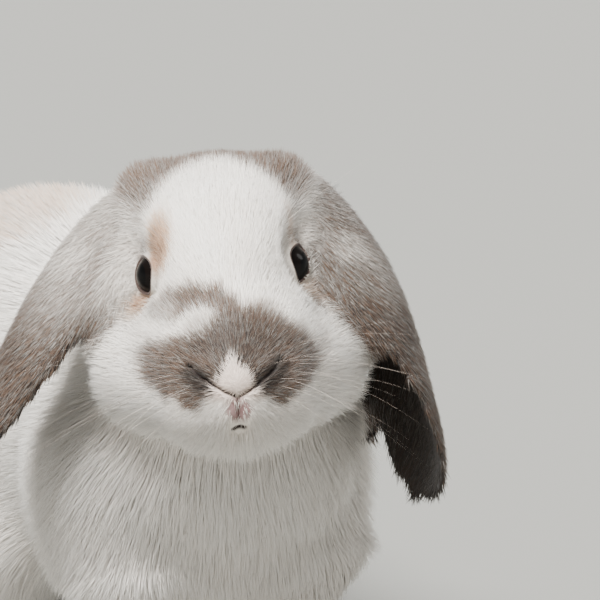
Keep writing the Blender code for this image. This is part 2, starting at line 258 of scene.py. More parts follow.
# %% [markdown]
# ## What grows where
# Each part of the body has its own coat: tufts of 4 to 6 mm on the muzzle and feet, and of 15 or 16 mm
# on the back. The table gives, for each part, the coat's depth over the skin, the length and width of a
# tuft, and how thick it grows. Each point of the skin takes the part whose solid is nearest, and the
# shares are then spread over the neighbours so that one coat runs into the next.

# %% What grows where
#        depth, length, width of a tuft in mm, and how thick the coat grows
COAT = {
    "head": (1.7, 7.0, 0.42, 1.0),
    "ear": (1.1, 5.5, 0.42, 1.0),
    "neck": (5.0, 12.0, 0.54, 1.0),
    "chest": (7.0, 15.0, 0.56, 1.0),
    "trunk": (7.0, 15.0, 0.74, 1.0),
    "rump": (7.5, 16.0, 0.76, 1.0),
    "tail": (7.0, 12.0, 0.70, 1.2),
    "foreleg": (3.0, 9.0, 0.58, 1.0),
    "forepaw": (1.2, 4.5, 0.48, 1.6),
    "thigh": (6.0, 14.0, 0.72, 1.0),
    "hind_foot": (1.4, 5.5, 0.50, 1.4),
}
DEPTH, LENGTH, WIDTH, GROWTH = range(4)
PARTS = list(COAT)
SPREAD_ROUNDS = 18
PART_OF = {name: next(part for part in PARTS if name.startswith(part)) for name in FLESH}


def nearest_parts(points):
    """For each point, a share of 1 for the part whose solid is nearest."""
    corners = [(vertex.co, PARTS.index(PART_OF[name]))
               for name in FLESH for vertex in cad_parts[name].data.vertices]
    tree = KDTree(len(corners))
    for co, part in corners:
        tree.insert(co, part)
    tree.balance()
    found = [tree.find(point)[1] for point in points]
    return np.eye(len(PARTS))[found]


def spread_shares(points, edges):
    """The parts' shares at each point, run over into its neighbours'."""
    return relaxed(nearest_parts(points), edges, SPREAD_ROUNDS)


def share_of(shares, *names):
    """How much of each point belongs to these parts."""
    return sum(shares[:, PARTS.index(name)] for name in names)


def coat_value(shares, column):
    """One column of the table, blended by the shares."""
    return shares @ np.array([COAT[part][column] for part in PARTS])


print(len(PARTS), "kinds of coat on", len(PART_OF), "nodes")

# %% [markdown]
# ## Down to the skin
# The solids reach to the tips of the coat, so the skin lies inside them by the coat's depth. The
# surface goes in by small steps, and is relaxed a little at each, so that it neither folds at the
# armpits nor keeps the solids' facets. A second wrap then evens out the mesh, and the creases between
# neck, chest, trunk and thighs are smoothed away, since loose skin bridges them.

# %% Down to the skin
INSET_STEPS = 10
FACET_ROUNDS = 8
EVEN_ROUNDS = 4
BODY_ROUNDS = 45
THIN_MUZZLE = 0.8
FULL_CHEEK = 1.6
SOFT_PARTS = ("neck", "chest", "trunk", "rump", "thigh")


def skin_depth(points, shares):
    """How far the coat's tips stand over the skin. It is thin on the muzzle and full on the cheeks."""
    head = in_head(points)
    on_head = share_of(shares, "head")
    muzzle = on_head * ramp(-24, -38, head[:, 1])
    cheek = on_head * ramp(-8, -22, head[:, 2]) * ramp(22, 34, np.abs(head[:, 0]))
    return (coat_value(shares, DEPTH) - THIN_MUZZLE * muzzle + FULL_CHEEK * cheek) * MM


def sunk(mesh):
    """Moves the mesh's surface in to where the skin is."""
    edges = edges_of(mesh)
    points = relaxed(places(mesh), edges, FACET_ROUNDS)
    move_to(mesh, points)
    shares = spread_shares(points, edges)
    step = (skin_depth(points, shares) + SWELL) / INSET_STEPS
    for _ in range(INSET_STEPS):
        points = relaxed(points - normals(mesh) * step[:, None], edges, 1, 0.2)
        move_to(mesh, points)
    return mesh


def softened(mesh):
    """Evens out the mesh, and smooths the creases between one part of the body and the next."""
    edges = edges_of(mesh)
    points = relaxed(places(mesh), edges, EVEN_ROUNDS)
    body = ramp(0.75, 1.0, share_of(spread_shares(points, edges), *SOFT_PARTS))[:, None]
    move_to(mesh, points * (1 - body) + relaxed(points, edges, BODY_ROUNDS) * body)
    return mesh


skin_mesh = softened(wrapped(sunk(skin_mesh), SKIN_VOXEL))
print("skin:", len(skin_mesh.vertices), "points")

# %% [markdown]
# ## A finer mesh where the face needs it
# Lids, nostrils and lips are folds under a millimetre wide, too fine for the skin's general mesh. Only
# the faces round the eyes, nose and mouth are split, twice, which keeps the rest light.

# %% A finer mesh where the face needs it
FINE_ROUND_EYE = (13.5 * MM, 12.0 * MM)
FINE_NOSE_REACH = (17.0, 15.0)
FINE_NOSE_HEIGHT = -30.0
FRONT_OF_FACE = -30.0


def refine(mesh, level):
    """Splits the faces near the eyes and the nose once."""
    points = places(mesh)
    head = in_head(points)
    chosen = np.zeros(len(points), bool)
    for centre in EYE_AT.values():
        chosen |= np.linalg.norm(points - centre, axis=1) < FINE_ROUND_EYE[level]
    off_nose = np.maximum(np.abs(head[:, 0]), np.abs(head[:, 2] - FINE_NOSE_HEIGHT))
    chosen |= (off_nose < FINE_NOSE_REACH[level]) & (head[:, 1] < FRONT_OF_FACE)
    work = bmesh.new()
    work.from_mesh(mesh)
    work.verts.ensure_lookup_table()
    edges = [edge for edge in work.edges if chosen[edge.verts[0].index] and chosen[edge.verts[1].index]]
    bmesh.ops.subdivide_edges(work, edges=edges, cuts=1, use_grid_fill=True, smooth=0.0)
    bmesh.ops.triangulate(work, faces=[face for face in work.faces if len(face.verts) > 4])
    work.to_mesh(mesh)
    work.free()


for level in (0, 1):
    refine(skin_mesh, level)
print("with the fine face:", len(skin_mesh.vertices), "points")

# %% [markdown]
# ## Lids
# A rabbit's eye looks out to the side, and from in front only its edge shows. The lids are skin a
# millimetre thick drawn over the ball, with an almond opening whose inner corner points down towards
# the nose. Each point near the eye is measured by its direction from the ball's middle: outside the
# almond it is laid on a sphere just over the ball, and inside it is tucked behind the ball.

# %% Lids
EYE_RADIUS = float(np.ptp(np.array(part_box(EYES[1])), axis=0).max()) / 2
EYE_OUTWARD = math.radians(71)
EYE_LIFT = math.radians(4)
LID_THICK = 0.9 * MM
TUCK = 1.8 * MM
OPEN_FORWARD = {1: math.radians(14), -1: math.radians(29)}
OPEN_BACK = {1: math.radians(56), -1: math.radians(47)}
OPEN_HIGH = math.radians(47)
OPEN_LEAN = math.radians(-38)
CORNER_POINT = 0.25
LID_EDGE = (0.94, 1.05)
LID_FADE = (1.25, 1.9)


def eye_axes(side):
    """The eye's own axes: out along its look, forward along the opening, and up."""
    look = np.array((side * math.sin(EYE_OUTWARD) * math.cos(EYE_LIFT),
                     -math.cos(EYE_OUTWARD) * math.cos(EYE_LIFT), math.sin(EYE_LIFT))) @ HEAD_AXES
    forward = unit(np.cross(HEAD_UP, look)) * side
    up = unit(np.cross(look, forward)) * side
    lean = (forward * math.cos(OPEN_LEAN) + up * math.sin(OPEN_LEAN),
            up * math.cos(OPEN_LEAN) - forward * math.sin(OPEN_LEAN))
    return look, lean[0], lean[1]


def almond(points, side):
    """How far out each point is, in the eye's directions: 1 on the lids' edge."""
    look, forward, up = eye_axes(side)
    away = unit(points - EYE_AT[side])
    across, high, out = away @ forward, away @ up, away @ look
    angle = np.arccos(np.clip(out, -1, 1))
    flat = np.maximum(np.hypot(across, high), 1e-9)
    reach = np.where(across > 0, OPEN_FORWARD[side], OPEN_BACK[side])
    s, t = angle * across / flat / reach, angle * high / flat / OPEN_HIGH
    return np.hypot(s, t * (1 + CORNER_POINT * s * s))


def lidded(points, side):
    """The points drawn into lids round this eye."""
    ring = almond(points, side)
    away = points - EYE_AT[side]
    far = np.linalg.norm(away, axis=1)
    inside, outside = EYE_RADIUS - TUCK, EYE_RADIUS + LID_THICK
    lid = inside + (outside - inside) * ramp(*LID_EDGE, ring)
    share = (1 - ramp(*LID_FADE, ring)) * (far < 2.2 * EYE_RADIUS)
    return EYE_AT[side] + unit(away) * (share * lid + (1 - share) * far)[:, None]


def with_lids(mesh):
    """Draws both eyes' lids on the mesh."""
    points = places(mesh)
    for side in EYES:
        points = lidded(points, side)
    move_to(mesh, points)


with_lids(skin_mesh)
print("eyeball radius", round(EYE_RADIUS / MM, 2), "mm")

# %% [markdown]
# ## Nose, nostrils and lips
# The nostrils are two slits that run up and out from the tip like a wide V, and a groove runs from the
# tip down to the cleft upper lip and the small mouth. Each fold is a line on the front of the face.
# Points close to it are pushed back into the face, and a low swelling beside it gives the lips.

# %% Nose, nostrils and lips
def line_distance(at, line):
    """How far each (x, z) place is from a bent line, and how far along the line it is, from 0 to 1."""
    line = np.array(line, float)
    best, along = np.full(len(at), 1e9), np.zeros(len(at))
    steps = np.linalg.norm(np.diff(line, axis=0), axis=1)
    start = np.concatenate([[0], np.cumsum(steps)]) / steps.sum()
    for i, (a, b) in enumerate(zip(line[:-1], line[1:])):
        t = np.clip((at - a) @ (b - a) / ((b - a) @ (b - a)), 0, 1)
        far = np.linalg.norm(at - a - t[:, None] * (b - a), axis=1)
        closer = far < best
        best[closer] = far[closer]
        along[closer] = (start[i] + t * (start[i + 1] - start[i]))[closer]
    return best, along


NOSTRIL = ((0.4, -31.2), (3.8, -29.6), (7.6, -27.0), (10.4, -25.4), (13.0, -22.8))
CLEFT = ((0.0, -31.0), (-0.1, -35.0), (-0.2, -38.6))
MOUTH = ((-2.0, -42.3), (-0.9, -41.7), (0.4, -41.5), (1.6, -42.0))
FOLDS = [
    # line on the face, depth and half-width in mm, and how dark the fold is painted, as painted shade
    (NOSTRIL, 2.2, 0.6, 0.85),
    (tuple((-x, z) for x, z in NOSTRIL), 2.2, 0.6, 0.85),
    (CLEFT, 0.9, 0.4, 0.42),
    (MOUTH, 1.5, 0.85, 0.72),
]
SWELLINGS = [
    # place beside the face's middle line, half-widths, and how far it stands out, in mm
    ((3.2, -37.5), (3.0, 4.5), 1.1),  # the lip
    ((8.0, -22.5), (4.5, 3.0), 0.8),  # the wing of the nose
    ((0.0, -27.5), (4.0, 3.5), 0.9),  # the tip
]


def fold_mask(head, line, width):
    """1 on the line and 0 well beside it, on the front of the face only."""
    far, along = line_distance(head[:, [0, 2]], line)
    return np.exp(-((far / width) ** 2)) * ramp(FRONT_OF_FACE + 4, FRONT_OF_FACE, head[:, 1]), along


def with_nose(mesh):
    """Pushes the folds in and the swellings out."""
    points = places(mesh)
    head = in_head(points)
    front = ramp(FRONT_OF_FACE + 4, FRONT_OF_FACE - 4, head[:, 1])
    pushed = np.zeros(len(points))
    for line, depth, width, _ in FOLDS:
        mask, along = fold_mask(head, line, width)
        pushed += depth * mask * (0.5 + 0.5 * ramp(0, 0.6, along) if line is not CLEFT else 1)
    swollen = np.zeros(len(points))
    for (x, z), (wide, high), out in SWELLINGS:
        off = ((np.abs(head[:, 0]) - x) / wide) ** 2 + ((head[:, 2] - z) / high) ** 2
        swollen += out * np.exp(-off)
    points += (pushed - swollen * front)[:, None] * MM * HEAD_BACK
    move_to(mesh, points)


with_nose(skin_mesh)
print(len(FOLDS), "folds and", len(SWELLINGS), "swellings")

# %% [markdown]
# ## Markings
# The coat is white, broken by grey-brown: the ears, a band over the crown, rings at the eyes and a
# butterfly-shaped patch over the nose, with a white snip at its tip. Warm tan shows over the eyes and
# on the back. Each marking is a mask from 0 to 1 at each point of the skin, built from a few soft
# ellipses, and skin and coat both read the same masks.

# %% Markings
def spot(head, at, radii, turn, soft):
    """1 inside an ellipse on the front of the face, at (x, z), turned by turn degrees."""
    cosine, sine = math.cos(math.radians(turn)), math.sin(math.radians(turn))
    x, z = head[:, 0] - at[0], head[:, 2] - at[1]
    out = np.hypot((x * cosine + z * sine) / radii[0], (z * cosine - x * sine) / radii[1])
    return 1 - ramp(1 - soft, 1 + soft, out)


def ball_spot(points, at, radii, soft=0.4):
    """1 inside an ellipsoid, at a place of these same points."""
    out = np.linalg.norm((points - np.array(at)) / np.array(radii), axis=1)
    return 1 - ramp(1 - soft, 1 + soft, out)


def ragged(points, scale, seed):
    """Soft noise from -1 to 1, for edges that no ruler drew."""
    shift = Vector((seed * 7.1, seed * 3.7, seed * 1.3))
    return np.array([noise.noise(Vector(point) * scale + shift) for point in points])


ARCH = ((-20.5, -9.5), (-16.5, -6.6), (-8.5, -4.4), (-2.5, -6.4), (2.0, -10.5))
# The line of painted shade beside the left eye, along the front of the left ear.
EAR_FRONT_SHADE = ((27.0, 7.0), (27.5, -3.0), (28.5, -11.0))


def nose_patch(head):
    """The butterfly over the nose, with its arch and its white snip."""
    wings = spot(head, (-1.0, -24.0), (26.8, 10.8), 0, 0.13)
    bridge = spot(head, (2.6, -16.8), (14.2, 9.2), 0, 0.2)
    shoulder = spot(head, (15.0, -21.0), (10.5, 6.5), -20, 0.25)
    far, along = line_distance(head[:, [0, 2]], ARCH)
    arch = (1 - ramp(1.8, 4.6, far)) * (0.62 + 0.38 * ramp(0, 0.35, along))
    notch = 0.55 * spot(head, (-8.0, -13.0), (8.0, 4.0), 14, 0.5)
    whole = np.maximum.reduce([wings, bridge, shoulder, arch, notch])
    whole *= ramp(-12, -17, head[:, 1])
    half = 0.9 + 0.55 * np.clip(-20.0 - head[:, 2], 0, 9)
    snip = (1 - ramp(0.75, 1.25, np.abs(head[:, 0]) / half)) * ramp(-18.5, -21.5, head[:, 2])
    snip *= ramp(-33.0, -31.0, head[:, 2])
    lip_white = ramp(-30.8, -32.5, head[:, 2]) * (1 - ramp(5, 11, np.abs(head[:, 0])))
    return whole * (1 - snip) * (1 - lip_white), snip


def eye_marks(points, head):
    """The grey ring behind and over each eye, the tan tuft over it, the warm patch below, and painted shade
    by the left eye, along the front of its ear.
    """
    grey, tan = np.zeros(len(points)), np.zeros(len(points))
    for side, centre in EYE_AT.items():
        far = np.linalg.norm(points - centre, axis=1) / MM
        above = ramp(-6, 6, (points - centre) @ HEAD_UP / MM)
        behind = ramp(-7, 3, (points - centre) @ HEAD_BACK / MM)
        ring = ramp(15.5, 10.5, far) * (0.30 + 0.45 * above) * (0.35 + 0.65 * behind)
        grey = np.maximum(grey, ring)
        beneath = ball_spot(head, (side * 28.0, -4.0, -8.5), (6.5, 8.5, 4.5))
        tan = np.maximum(tan, (0.6 if side > 0 else 1.0) * beneath)
    tan = np.maximum(tan, spot(head, (-19.4, 9.0), (4.2, 8.5), -14, 0.45) * ramp(2, -3, head[:, 1]))
    tan = np.maximum(tan, 0.7 * spot(head, (23.6, 12.0), (3.0, 7.0), 12, 0.5) * ramp(4, -1, head[:, 1]))
    # Painted shade beside the left eye, along the front of the left ear.
    off_ear_front_shade, _ = line_distance(head[:, [0, 2]], EAR_FRONT_SHADE)
    grey = np.maximum(grey, 0.7 * ramp(3.6, 1.4, off_ear_front_shade) * ramp(2, -4, head[:, 1]))
    return grey, tan


print("the arch over the nose bends at", len(ARCH), "places")

# %% [markdown]
# ## Ears, back and bare skin
# The ears darken from root to tip. Painted shade darkens their insides and the left ear's tip, and makes
# the left ear greyer at its root than the right. They lie on the neck, whose coat stays white where it
# covers them. Patches on the back are placed as shares of the frame's box. The folds and the lids' edge
# come from the lines that shaped them.

# %% Ears, back and bare skin
# How grey each ear is at its root, and how much more at its tip; the left ear's extra grey is painted shade.
EAR_GREY = {1: (0.69, 0.31), -1: (0.58, 0.42)}
BACK_TAN = 0.55
BACK_PATCHES = [
    # place as shares of the frame's box, radii in mm
    ((0.41, 0.57, 0.82), (26, 24, 16)),
    ((0.50, 0.63, 0.87), (30, 16, 10)),
    ((0.42, 0.62, 0.86), (34, 40, 26)),
    ((0.72, 0.80, 0.70), (30, 36, 34)),
    ((0.30, 0.88, 0.62), (26, 34, 30)),
    ((0.50, 0.40, 0.84), (30, 24, 20)),
]
FAR_OUTSIDE = 5 * MM


def over_the_body(points):
    """1 where a point stands clear of the neck and chest, and 0 where their coat covers it."""
    corners, faces = [], []
    for name in FLESH:
        if name.startswith(("neck", "chest")):
            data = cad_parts[name].data
            faces += [[len(corners) + i for i in face.vertices] for face in data.polygons]
            corners += [vertex.co.copy() for vertex in data.vertices]
    surface = BVHTree.FromPolygons(corners, faces)
    clear = []
    for point in points:
        found, normal, _, far = surface.find_nearest(Vector(point))
        outside = (Vector(point) - found).dot(normal) > 0 or far > FAR_OUTSIDE
        clear.append(far / MM if outside else 0.0)
    return ramp(0.0, 2.0, np.array(clear))


def ear_masks(head, out, ear, broad):
    """Grey of the ears, and painted shade inside them and at the left ear's tip. Their undersides at the root
    are paler.
    """
    root, more = (np.where(head[:, 0] > 0, EAR_GREY[1][i], EAR_GREY[-1][i]) for i in (0, 1))
    grown = root + more * ramp(12, -24, head[:, 2])
    pale = ball_spot(head, (43, 12, 4), (7, 9, 5)) + ball_spot(head, (-48, 17, 7), (8, 9, 6))
    inward = -(out @ HEAD_ACROSS) * np.sign(head[:, 0])
    under = ramp(0.1, 0.5, inward) * ramp(-22, -8, head[:, 2])
    grey = ear * (grown + 0.25 * broad) * (1 - 0.3 * np.clip(pale, 0, 1)) * (1 - 0.7 * under)
    # Painted shade: the lower insides of the ears, and the tip of the left ear, which lies in shade.
    inside = ear * ramp(0.15, 0.6, inward) * ramp(-14, -25, head[:, 2])
    tip = ear * ramp(-62, -84, head[:, 2]) * (head[:, 0] > 0)
    return grey, np.maximum(inside, 0.7 * tip)


def back_tan(points, edge):
    """The warm patches on the back, with ragged edges."""
    low, size = np.array(cad_low), np.array(cad_high) - np.array(cad_low)
    tan = np.zeros(len(points))
    for at, radii in BACK_PATCHES:
        blob = ball_spot(points, low + np.array(at) * size, np.array(radii) * MM, 0.5)
        tan = np.maximum(tan, BACK_TAN * ramp(0.25, 0.85, blob + 1.5 * edge))
    return tan


def nose_dark_hair_and_shade(head, face, patch):
    """The darkest hair of the face, on the bridge of the nose, and painted shade in the hollows beside each
    nostril.
    """
    dark_hair_and_shade = face * 0.58 * spot(head, (0.0, -17.5), (12.0, 7.0), 0, 0.7) * patch
    for side in EYES:
        # Painted shade: the hollows at the outer ends of the nostrils.
        wing = spot(head, (side * 9.5, -26.2), (6.0, 3.2), side * 35, 0.6)
        dark_hair_and_shade = np.maximum(dark_hair_and_shade, 0.9 * wing * face * ramp(-36, -39, head[:, 1]))
    return dark_hair_and_shade


def bare_masks(points, head):
    """The folds of nose and mouth, the bare skin of the lip, and the lids' edge."""
    slit, lids = np.zeros(len(points)), np.zeros(len(points))
    # The folds' mask, scaled by how dark each fold is, places the painted shade in them.
    for line, _, width, dark in FOLDS:
        slit = np.maximum(slit, fold_mask(head, line, width * 1.15)[0] * dark)
    bare = 0.85 * spot(head, (0.0, -35.4), (5.0, 4.6), 0, 0.75) * ramp(-34, -38, head[:, 1])
    for side, centre in EYE_AT.items():
        near = np.linalg.norm(points - centre, axis=1) < 1.4 * EYE_RADIUS
        lids = np.maximum(lids, near * ramp(1.17, 1.03, almond(points, side)))
    return slit, bare, lids


def markings(mesh, shares):
    """The masks: taupe, tan, the darkest hair with painted shade, bare skin, folds, lids, and the white snip.
    """
    points = places(mesh)
    head = in_head(points)
    broad, fine = ragged(points, 42.0, 1), ragged(points, 160.0, 2)
    face = share_of(shares, "head")
    ear = share_of(shares, "ear") * np.maximum(over_the_body(points), ramp(-12, -2, head[:, 2]))
    patch, snip = nose_patch(head + np.c_[2.4 * broad + 1.2 * fine, 0 * broad, 2.2 * fine])
    # The eyes' ring also carries the painted shade along the front of the left ear.
    ring, tan = eye_marks(points, head)
    crown = (0.95 * ramp(4, 13, head[:, 1] + 0.2 * np.abs(head[:, 0]))
             * ramp(10, 24, head[:, 2]) * ramp(46, 30, head[:, 1]))
    side = ramp(24, 34, np.abs(head[:, 0])) * ramp(4, 14, head[:, 1]) * ramp(-28, -6, head[:, 2])
    # The ears' grey holds painted shade at the left ear's root, and their second mask is all painted shade.
    ear_grey, ear_painted_shade = ear_masks(head, normals(mesh), ear, broad)
    taupe = np.maximum.reduce([patch, ring * face, crown * face, 0.5 * side * face, ear_grey])
    warm = back_tan(points, 0.22 * broad + 0.14 * fine) * (1 - face) * (1 - ear)
    slit, bare, lids = bare_masks(points, head)
    return {"taupe": np.clip(taupe, 0, 1), "tan": np.clip(np.maximum(tan, warm), 0, 1),
            "dark_hair_and_shade": np.clip(np.maximum(ear_painted_shade, nose_dark_hair_and_shade(head, face, patch)), 0, 1),
            "bare": np.clip(bare, 0, 1), "slit": slit * face, "lid": lids, "snip": snip * face}


skin_edges = edges_of(skin_mesh)
shares = spread_shares(places(skin_mesh), skin_edges)
masks = markings(skin_mesh, shares)
for name, mask in masks.items():
    keep_value(skin_mesh, name, mask)
print("markings:", {name: round(float(mask.mean()), 3) for name, mask in masks.items()})

# %% [markdown]
# ## The lie of the coat
# Hair grows away from the nose, back over the head and along the body, down the legs and out along the
# toes. Each part gets one direction, the face a direction that spreads from the nose, and each ear runs
# from its root to its tip. The directions are blended by the shares and laid flat on the skin.

# %% The lie of the coat
LIE = {
    "head": (0, 0, 0), "ear": (0, 0, 0),
    "neck": (0.0, 0.7, -0.7), "chest": (0.0, 0.15, -1.0), "trunk": (0.0, 1.0, -0.35),
    "rump": (0.0, 0.8, -0.7), "tail": (0.0, 0.5, 0.9), "foreleg": (0.0, 0.1, -1.0),
    "forepaw": (0.0, -1.0, -0.2), "thigh": (0.0, 0.75, -0.65), "hind_foot": (0.0, -1.0, -0.15),
}
NOSE_TIP = from_head((0.0, -47.0, -28.5))
NOSE_PULL = from_head((0.0, -30.0, -30.0))


def coat_lie(mesh, shares, edges):
    """The direction in which the hair lies at each point, flat on the skin."""
    points, out = places(mesh), normals(mesh)
    lie = shares @ np.array([LIE[part] for part in PARTS], float)
    spread = unit(unit(points - NOSE_TIP) + 0.5 * unit(points - NOSE_PULL))
    lie += share_of(shares, "head")[:, None] * spread
    for side, name in EARS.items():
        low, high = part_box(name)
        tip = np.array((high.x if side > 0 else low.x, (low.y + high.y) / 2, low.z))
        on_ear = share_of(shares, "ear") * (in_head(points)[:, 0] * side > 0)
        root = from_head((side * 26.0, 12.0, 30.0))
        along = unit(unit(points - root) + 0.6 * unit(tip - points))
        lie += on_ear[:, None] * along
    lie = relaxed(unit(lie), edges, 10)
    for side, centre in EYE_AT.items():
        away = points - centre
        near = np.linalg.norm(away, axis=1) < 2.5 * EYE_RADIUS
        ring = np.where(near, ramp(2.7, 1.5, almond(points, side)), 0)
        away = unit(flat_on(away, out))
        round_it = np.cross(out, away)
        round_it *= np.sign(np.sum(round_it * lie, axis=1, keepdims=True))
        lie += ring[:, None] * (2.5 * round_it + 1.2 * away)
    return unit(flat_on(lie, out))


lie = coat_lie(skin_mesh, shares, skin_edges)
keep_value(skin_mesh, "lie", lie)
print("the hair lies this way on the whole:", np.round(lie.mean(axis=0), 2))

# %% [markdown]
# ## How long the coat is
# The table's sizes are changed a little from place to place. The hair is short round the eyes and lips,
# and the lids' edge and the middle of the mouth stay bare. It is longer on the cheeks, the crest, the
# jaw and the tail. At the floor it no longer rises, so that the feet stand on their soles.

# %% How long the coat is
def coat_sizes(mesh, shares):
    """Length, width, rise over the skin, and thickness of growth, at each point."""
    points = places(mesh)
    head = in_head(points)
    face = share_of(shares, "head")
    long, wide, thick = (coat_value(shares, column) for column in (LENGTH, WIDTH, GROWTH))
    muzzle = face * ramp(-22, -40, head[:, 1])
    cheek = face * ramp(-6, -22, head[:, 2]) * ramp(20, 34, np.abs(head[:, 0]))
    chin = face * ramp(-38, -48, head[:, 2])
    long = long - 3.0 * muzzle * (1 - chin) + 2.0 * cheek * (1 - chin) + 5.5 * chin
    wide = wide - 0.12 * muzzle
    thick = thick * (1 + 0.4 * muzzle)
    near_eye, lid_edge = np.zeros(len(points)), np.zeros(len(points))
    for side in EYES:
        near = np.linalg.norm(points - EYE_AT[side], axis=1) < 1.8 * EYE_RADIUS
        ring = almond(points, side)
        near_eye = np.maximum(near_eye, near * ramp(2.2, 1.3, ring))
        lid_edge = np.maximum(lid_edge, near * ramp(1.40, 1.18, ring))
    long *= 1 - 0.78 * near_eye
    wide *= 1 - 0.35 * near_eye
    thick *= (1 - 0.9 * ramp(0.25, 0.85, masks["bare"])) * (1 - ramp(0.4, 0.8, masks["slit"]))
    thick *= 1 - lid_edge
    lips = face * spot(head, (0, -39.5), (6.5, 5.0), 0, 0.5) * ramp(-34, -38, head[:, 1])
    thick *= 1 - 0.95 * face * spot(head, (0, -40.8), (3.4, 2.8), 0, 0.4) * ramp(-34, -38, head[:, 1])
    long *= 1 - 0.68 * lips
    wide *= 1 - 0.3 * lips
    nose_tip = face * spot(head, (0, -27), (6, 5), 0, 0.5) * ramp(-40, -44, head[:, 1])
    long *= 1 - 0.45 * nose_tip
    crest = face * ramp(14, 28, head[:, 2])
    jaw = face * ramp(-30, -44, head[:, 2]) * ramp(0.15, -0.4, normals(mesh) @ HEAD_UP)
    tail = share_of(shares, "tail")
    long = long + 1.5 * crest + 3.0 * jaw + 4.0 * tail
    rise = skin_depth(points, shares) / MM + 0.7 * crest + 3.6 * jaw + 4.5 * tail
    floor_clear = ramp(0.0, 3.0, points[:, 2] / MM)
    return {"long": long * MM, "wide": wide * MM, "rise": rise * MM * floor_clear, "thick": thick}


hair_sizes = coat_sizes(skin_mesh, shares)
for name, values in hair_sizes.items():
    keep_value(skin_mesh, name, values)
print("a tuft is", np.round(np.percentile(hair_sizes["long"], (1, 99)) / MM, 1), "mm long")

# %% [markdown]
# ## Building node trees from a script
# Geometry and shader trees are built the same way: a node, its settings, and its inputs, which are
# either values or other nodes' outputs. One short helper does this. The others write arithmetic, take a
# vector apart, and read and store the values that a mesh carries by name.

# %% Building node trees from a script
def add(tree, kind, inputs=None, output=0, **settings):
    """A new node with these settings and inputs. Returns one of its outputs."""
    made = tree.nodes.new(kind)
    for name, value in settings.items():
        setattr(made, name, value)
    for key, value in (inputs or {}).items():
        if isinstance(value, bpy.types.NodeSocket):
            tree.links.new(value, made.inputs[key])
        else:
            made.inputs[key].default_value = value
    return made.outputs[output]


def calc(tree, operation, a, b=0.0, c=0.0):
    """Arithmetic on numbers."""
    return add(tree, "ShaderNodeMath", {0: a, 1: b, 2: c}, operation=operation)


def vector(tree, operation, a, b=(0, 0, 0)):
    """Arithmetic on vectors."""
    output = "Value" if operation == "DOT_PRODUCT" else "Vector"
    return add(tree, "ShaderNodeVectorMath", {0: a, 1: b}, output, operation=operation)


def scaled(tree, a, factor):
    """A vector times a number."""
    return add(tree, "ShaderNodeVectorMath", {0: a, "Scale": factor}, operation="SCALE")


def level_on(tree, a, up):
    """The part of a vector that lies flat on a surface facing up."""
    return vector(tree, "SUBTRACT", a, scaled(tree, up, vector(tree, "DOT_PRODUCT", a, up)))


def split(tree, a):
    """The x, y and z of a vector."""
    parts = tree.nodes.new("ShaderNodeSeparateXYZ")
    tree.links.new(a, parts.inputs[0])
    return parts.outputs


def total(tree, *vectors):
    """The sum of several vectors."""
    result = vectors[0]
    for other in vectors[1:]:
        result = vector(tree, "ADD", result, other)
    return result


def field(tree, name, kind="FLOAT"):
    """A value stored on the mesh, by name."""
    return add(tree, "GeometryNodeInputNamedAttribute", {"Name": name}, data_type=kind)


def store(tree, geometry, name, value, kind="FLOAT", domain="POINT"):
    """The geometry with a value stored on it under a name."""
    inputs = {"Geometry": geometry, "Name": name, "Value": value}
    return add(tree, "GeometryNodeStoreNamedAttribute", inputs, data_type=kind, domain=domain)


def new_tree(name, sockets):
    """A geometry tree with these named inputs besides its geometry, what it is given, and its output."""
    tree = bpy.data.node_groups.new(name, "GeometryNodeTree")
    tree.interface.new_socket("Geometry", in_out="INPUT", socket_type="NodeSocketGeometry")
    for socket, kind in sockets.items():
        tree.interface.new_socket(socket, in_out="INPUT", socket_type="NodeSocket" + kind)
    tree.interface.new_socket("Geometry", in_out="OUTPUT", socket_type="NodeSocketGeometry")
    return tree, tree.nodes.new("NodeGroupInput").outputs, tree.nodes.new("NodeGroupOutput")


def grown_by(piece, tree, values):
    """The plain mesh that the tree makes of the piece. The piece goes away."""
    growth = piece.modifiers.new("growth", "NODES")
    growth.node_group = tree
    for item in tree.interface.items_tree:
        if item.in_out == "INPUT" and item.name in values:
            growth[item.identifier] = values[item.name]
    return baked(piece)


# %% [markdown]
# ## One tuft, many times
# A tuft is a thin, flat, three-sided blade that ends in a point. The tree scatters roots over the skin,
# puts a plain cone on each, and makes them real. Each point then finds its own place from the values
# that its root brought: out along the lie, up by the coat's rise and level again, and drawn with its
# neighbours towards a common lock. Each tuft also gets its own small patch of the map, at its root, and
# shading normals that lean towards the skin's, so that the coat is lit as one soft surface.

# %% One tuft, many times
TUFT_SIDES = 3
TUFT_SEGMENTS = 1
TUFT_FLAT = 0.34
LONG_CHANCE = (0.25, 0.90)
RISE_CHANCE = (0.40, 0.85)
ROOT_SINK = 0.35 * MM
PATCH = 0.003
FLOOR_GAP = 0.05 * MM
SOFT_SHADE = 1.2


def varied(tree, name, chance, swing, mean):
    """A stored value, made more or less by a chance from -1 to 1."""
    return calc(tree, "MULTIPLY", field(tree, name), calc(tree, "MULTIPLY_ADD", chance, swing, mean))


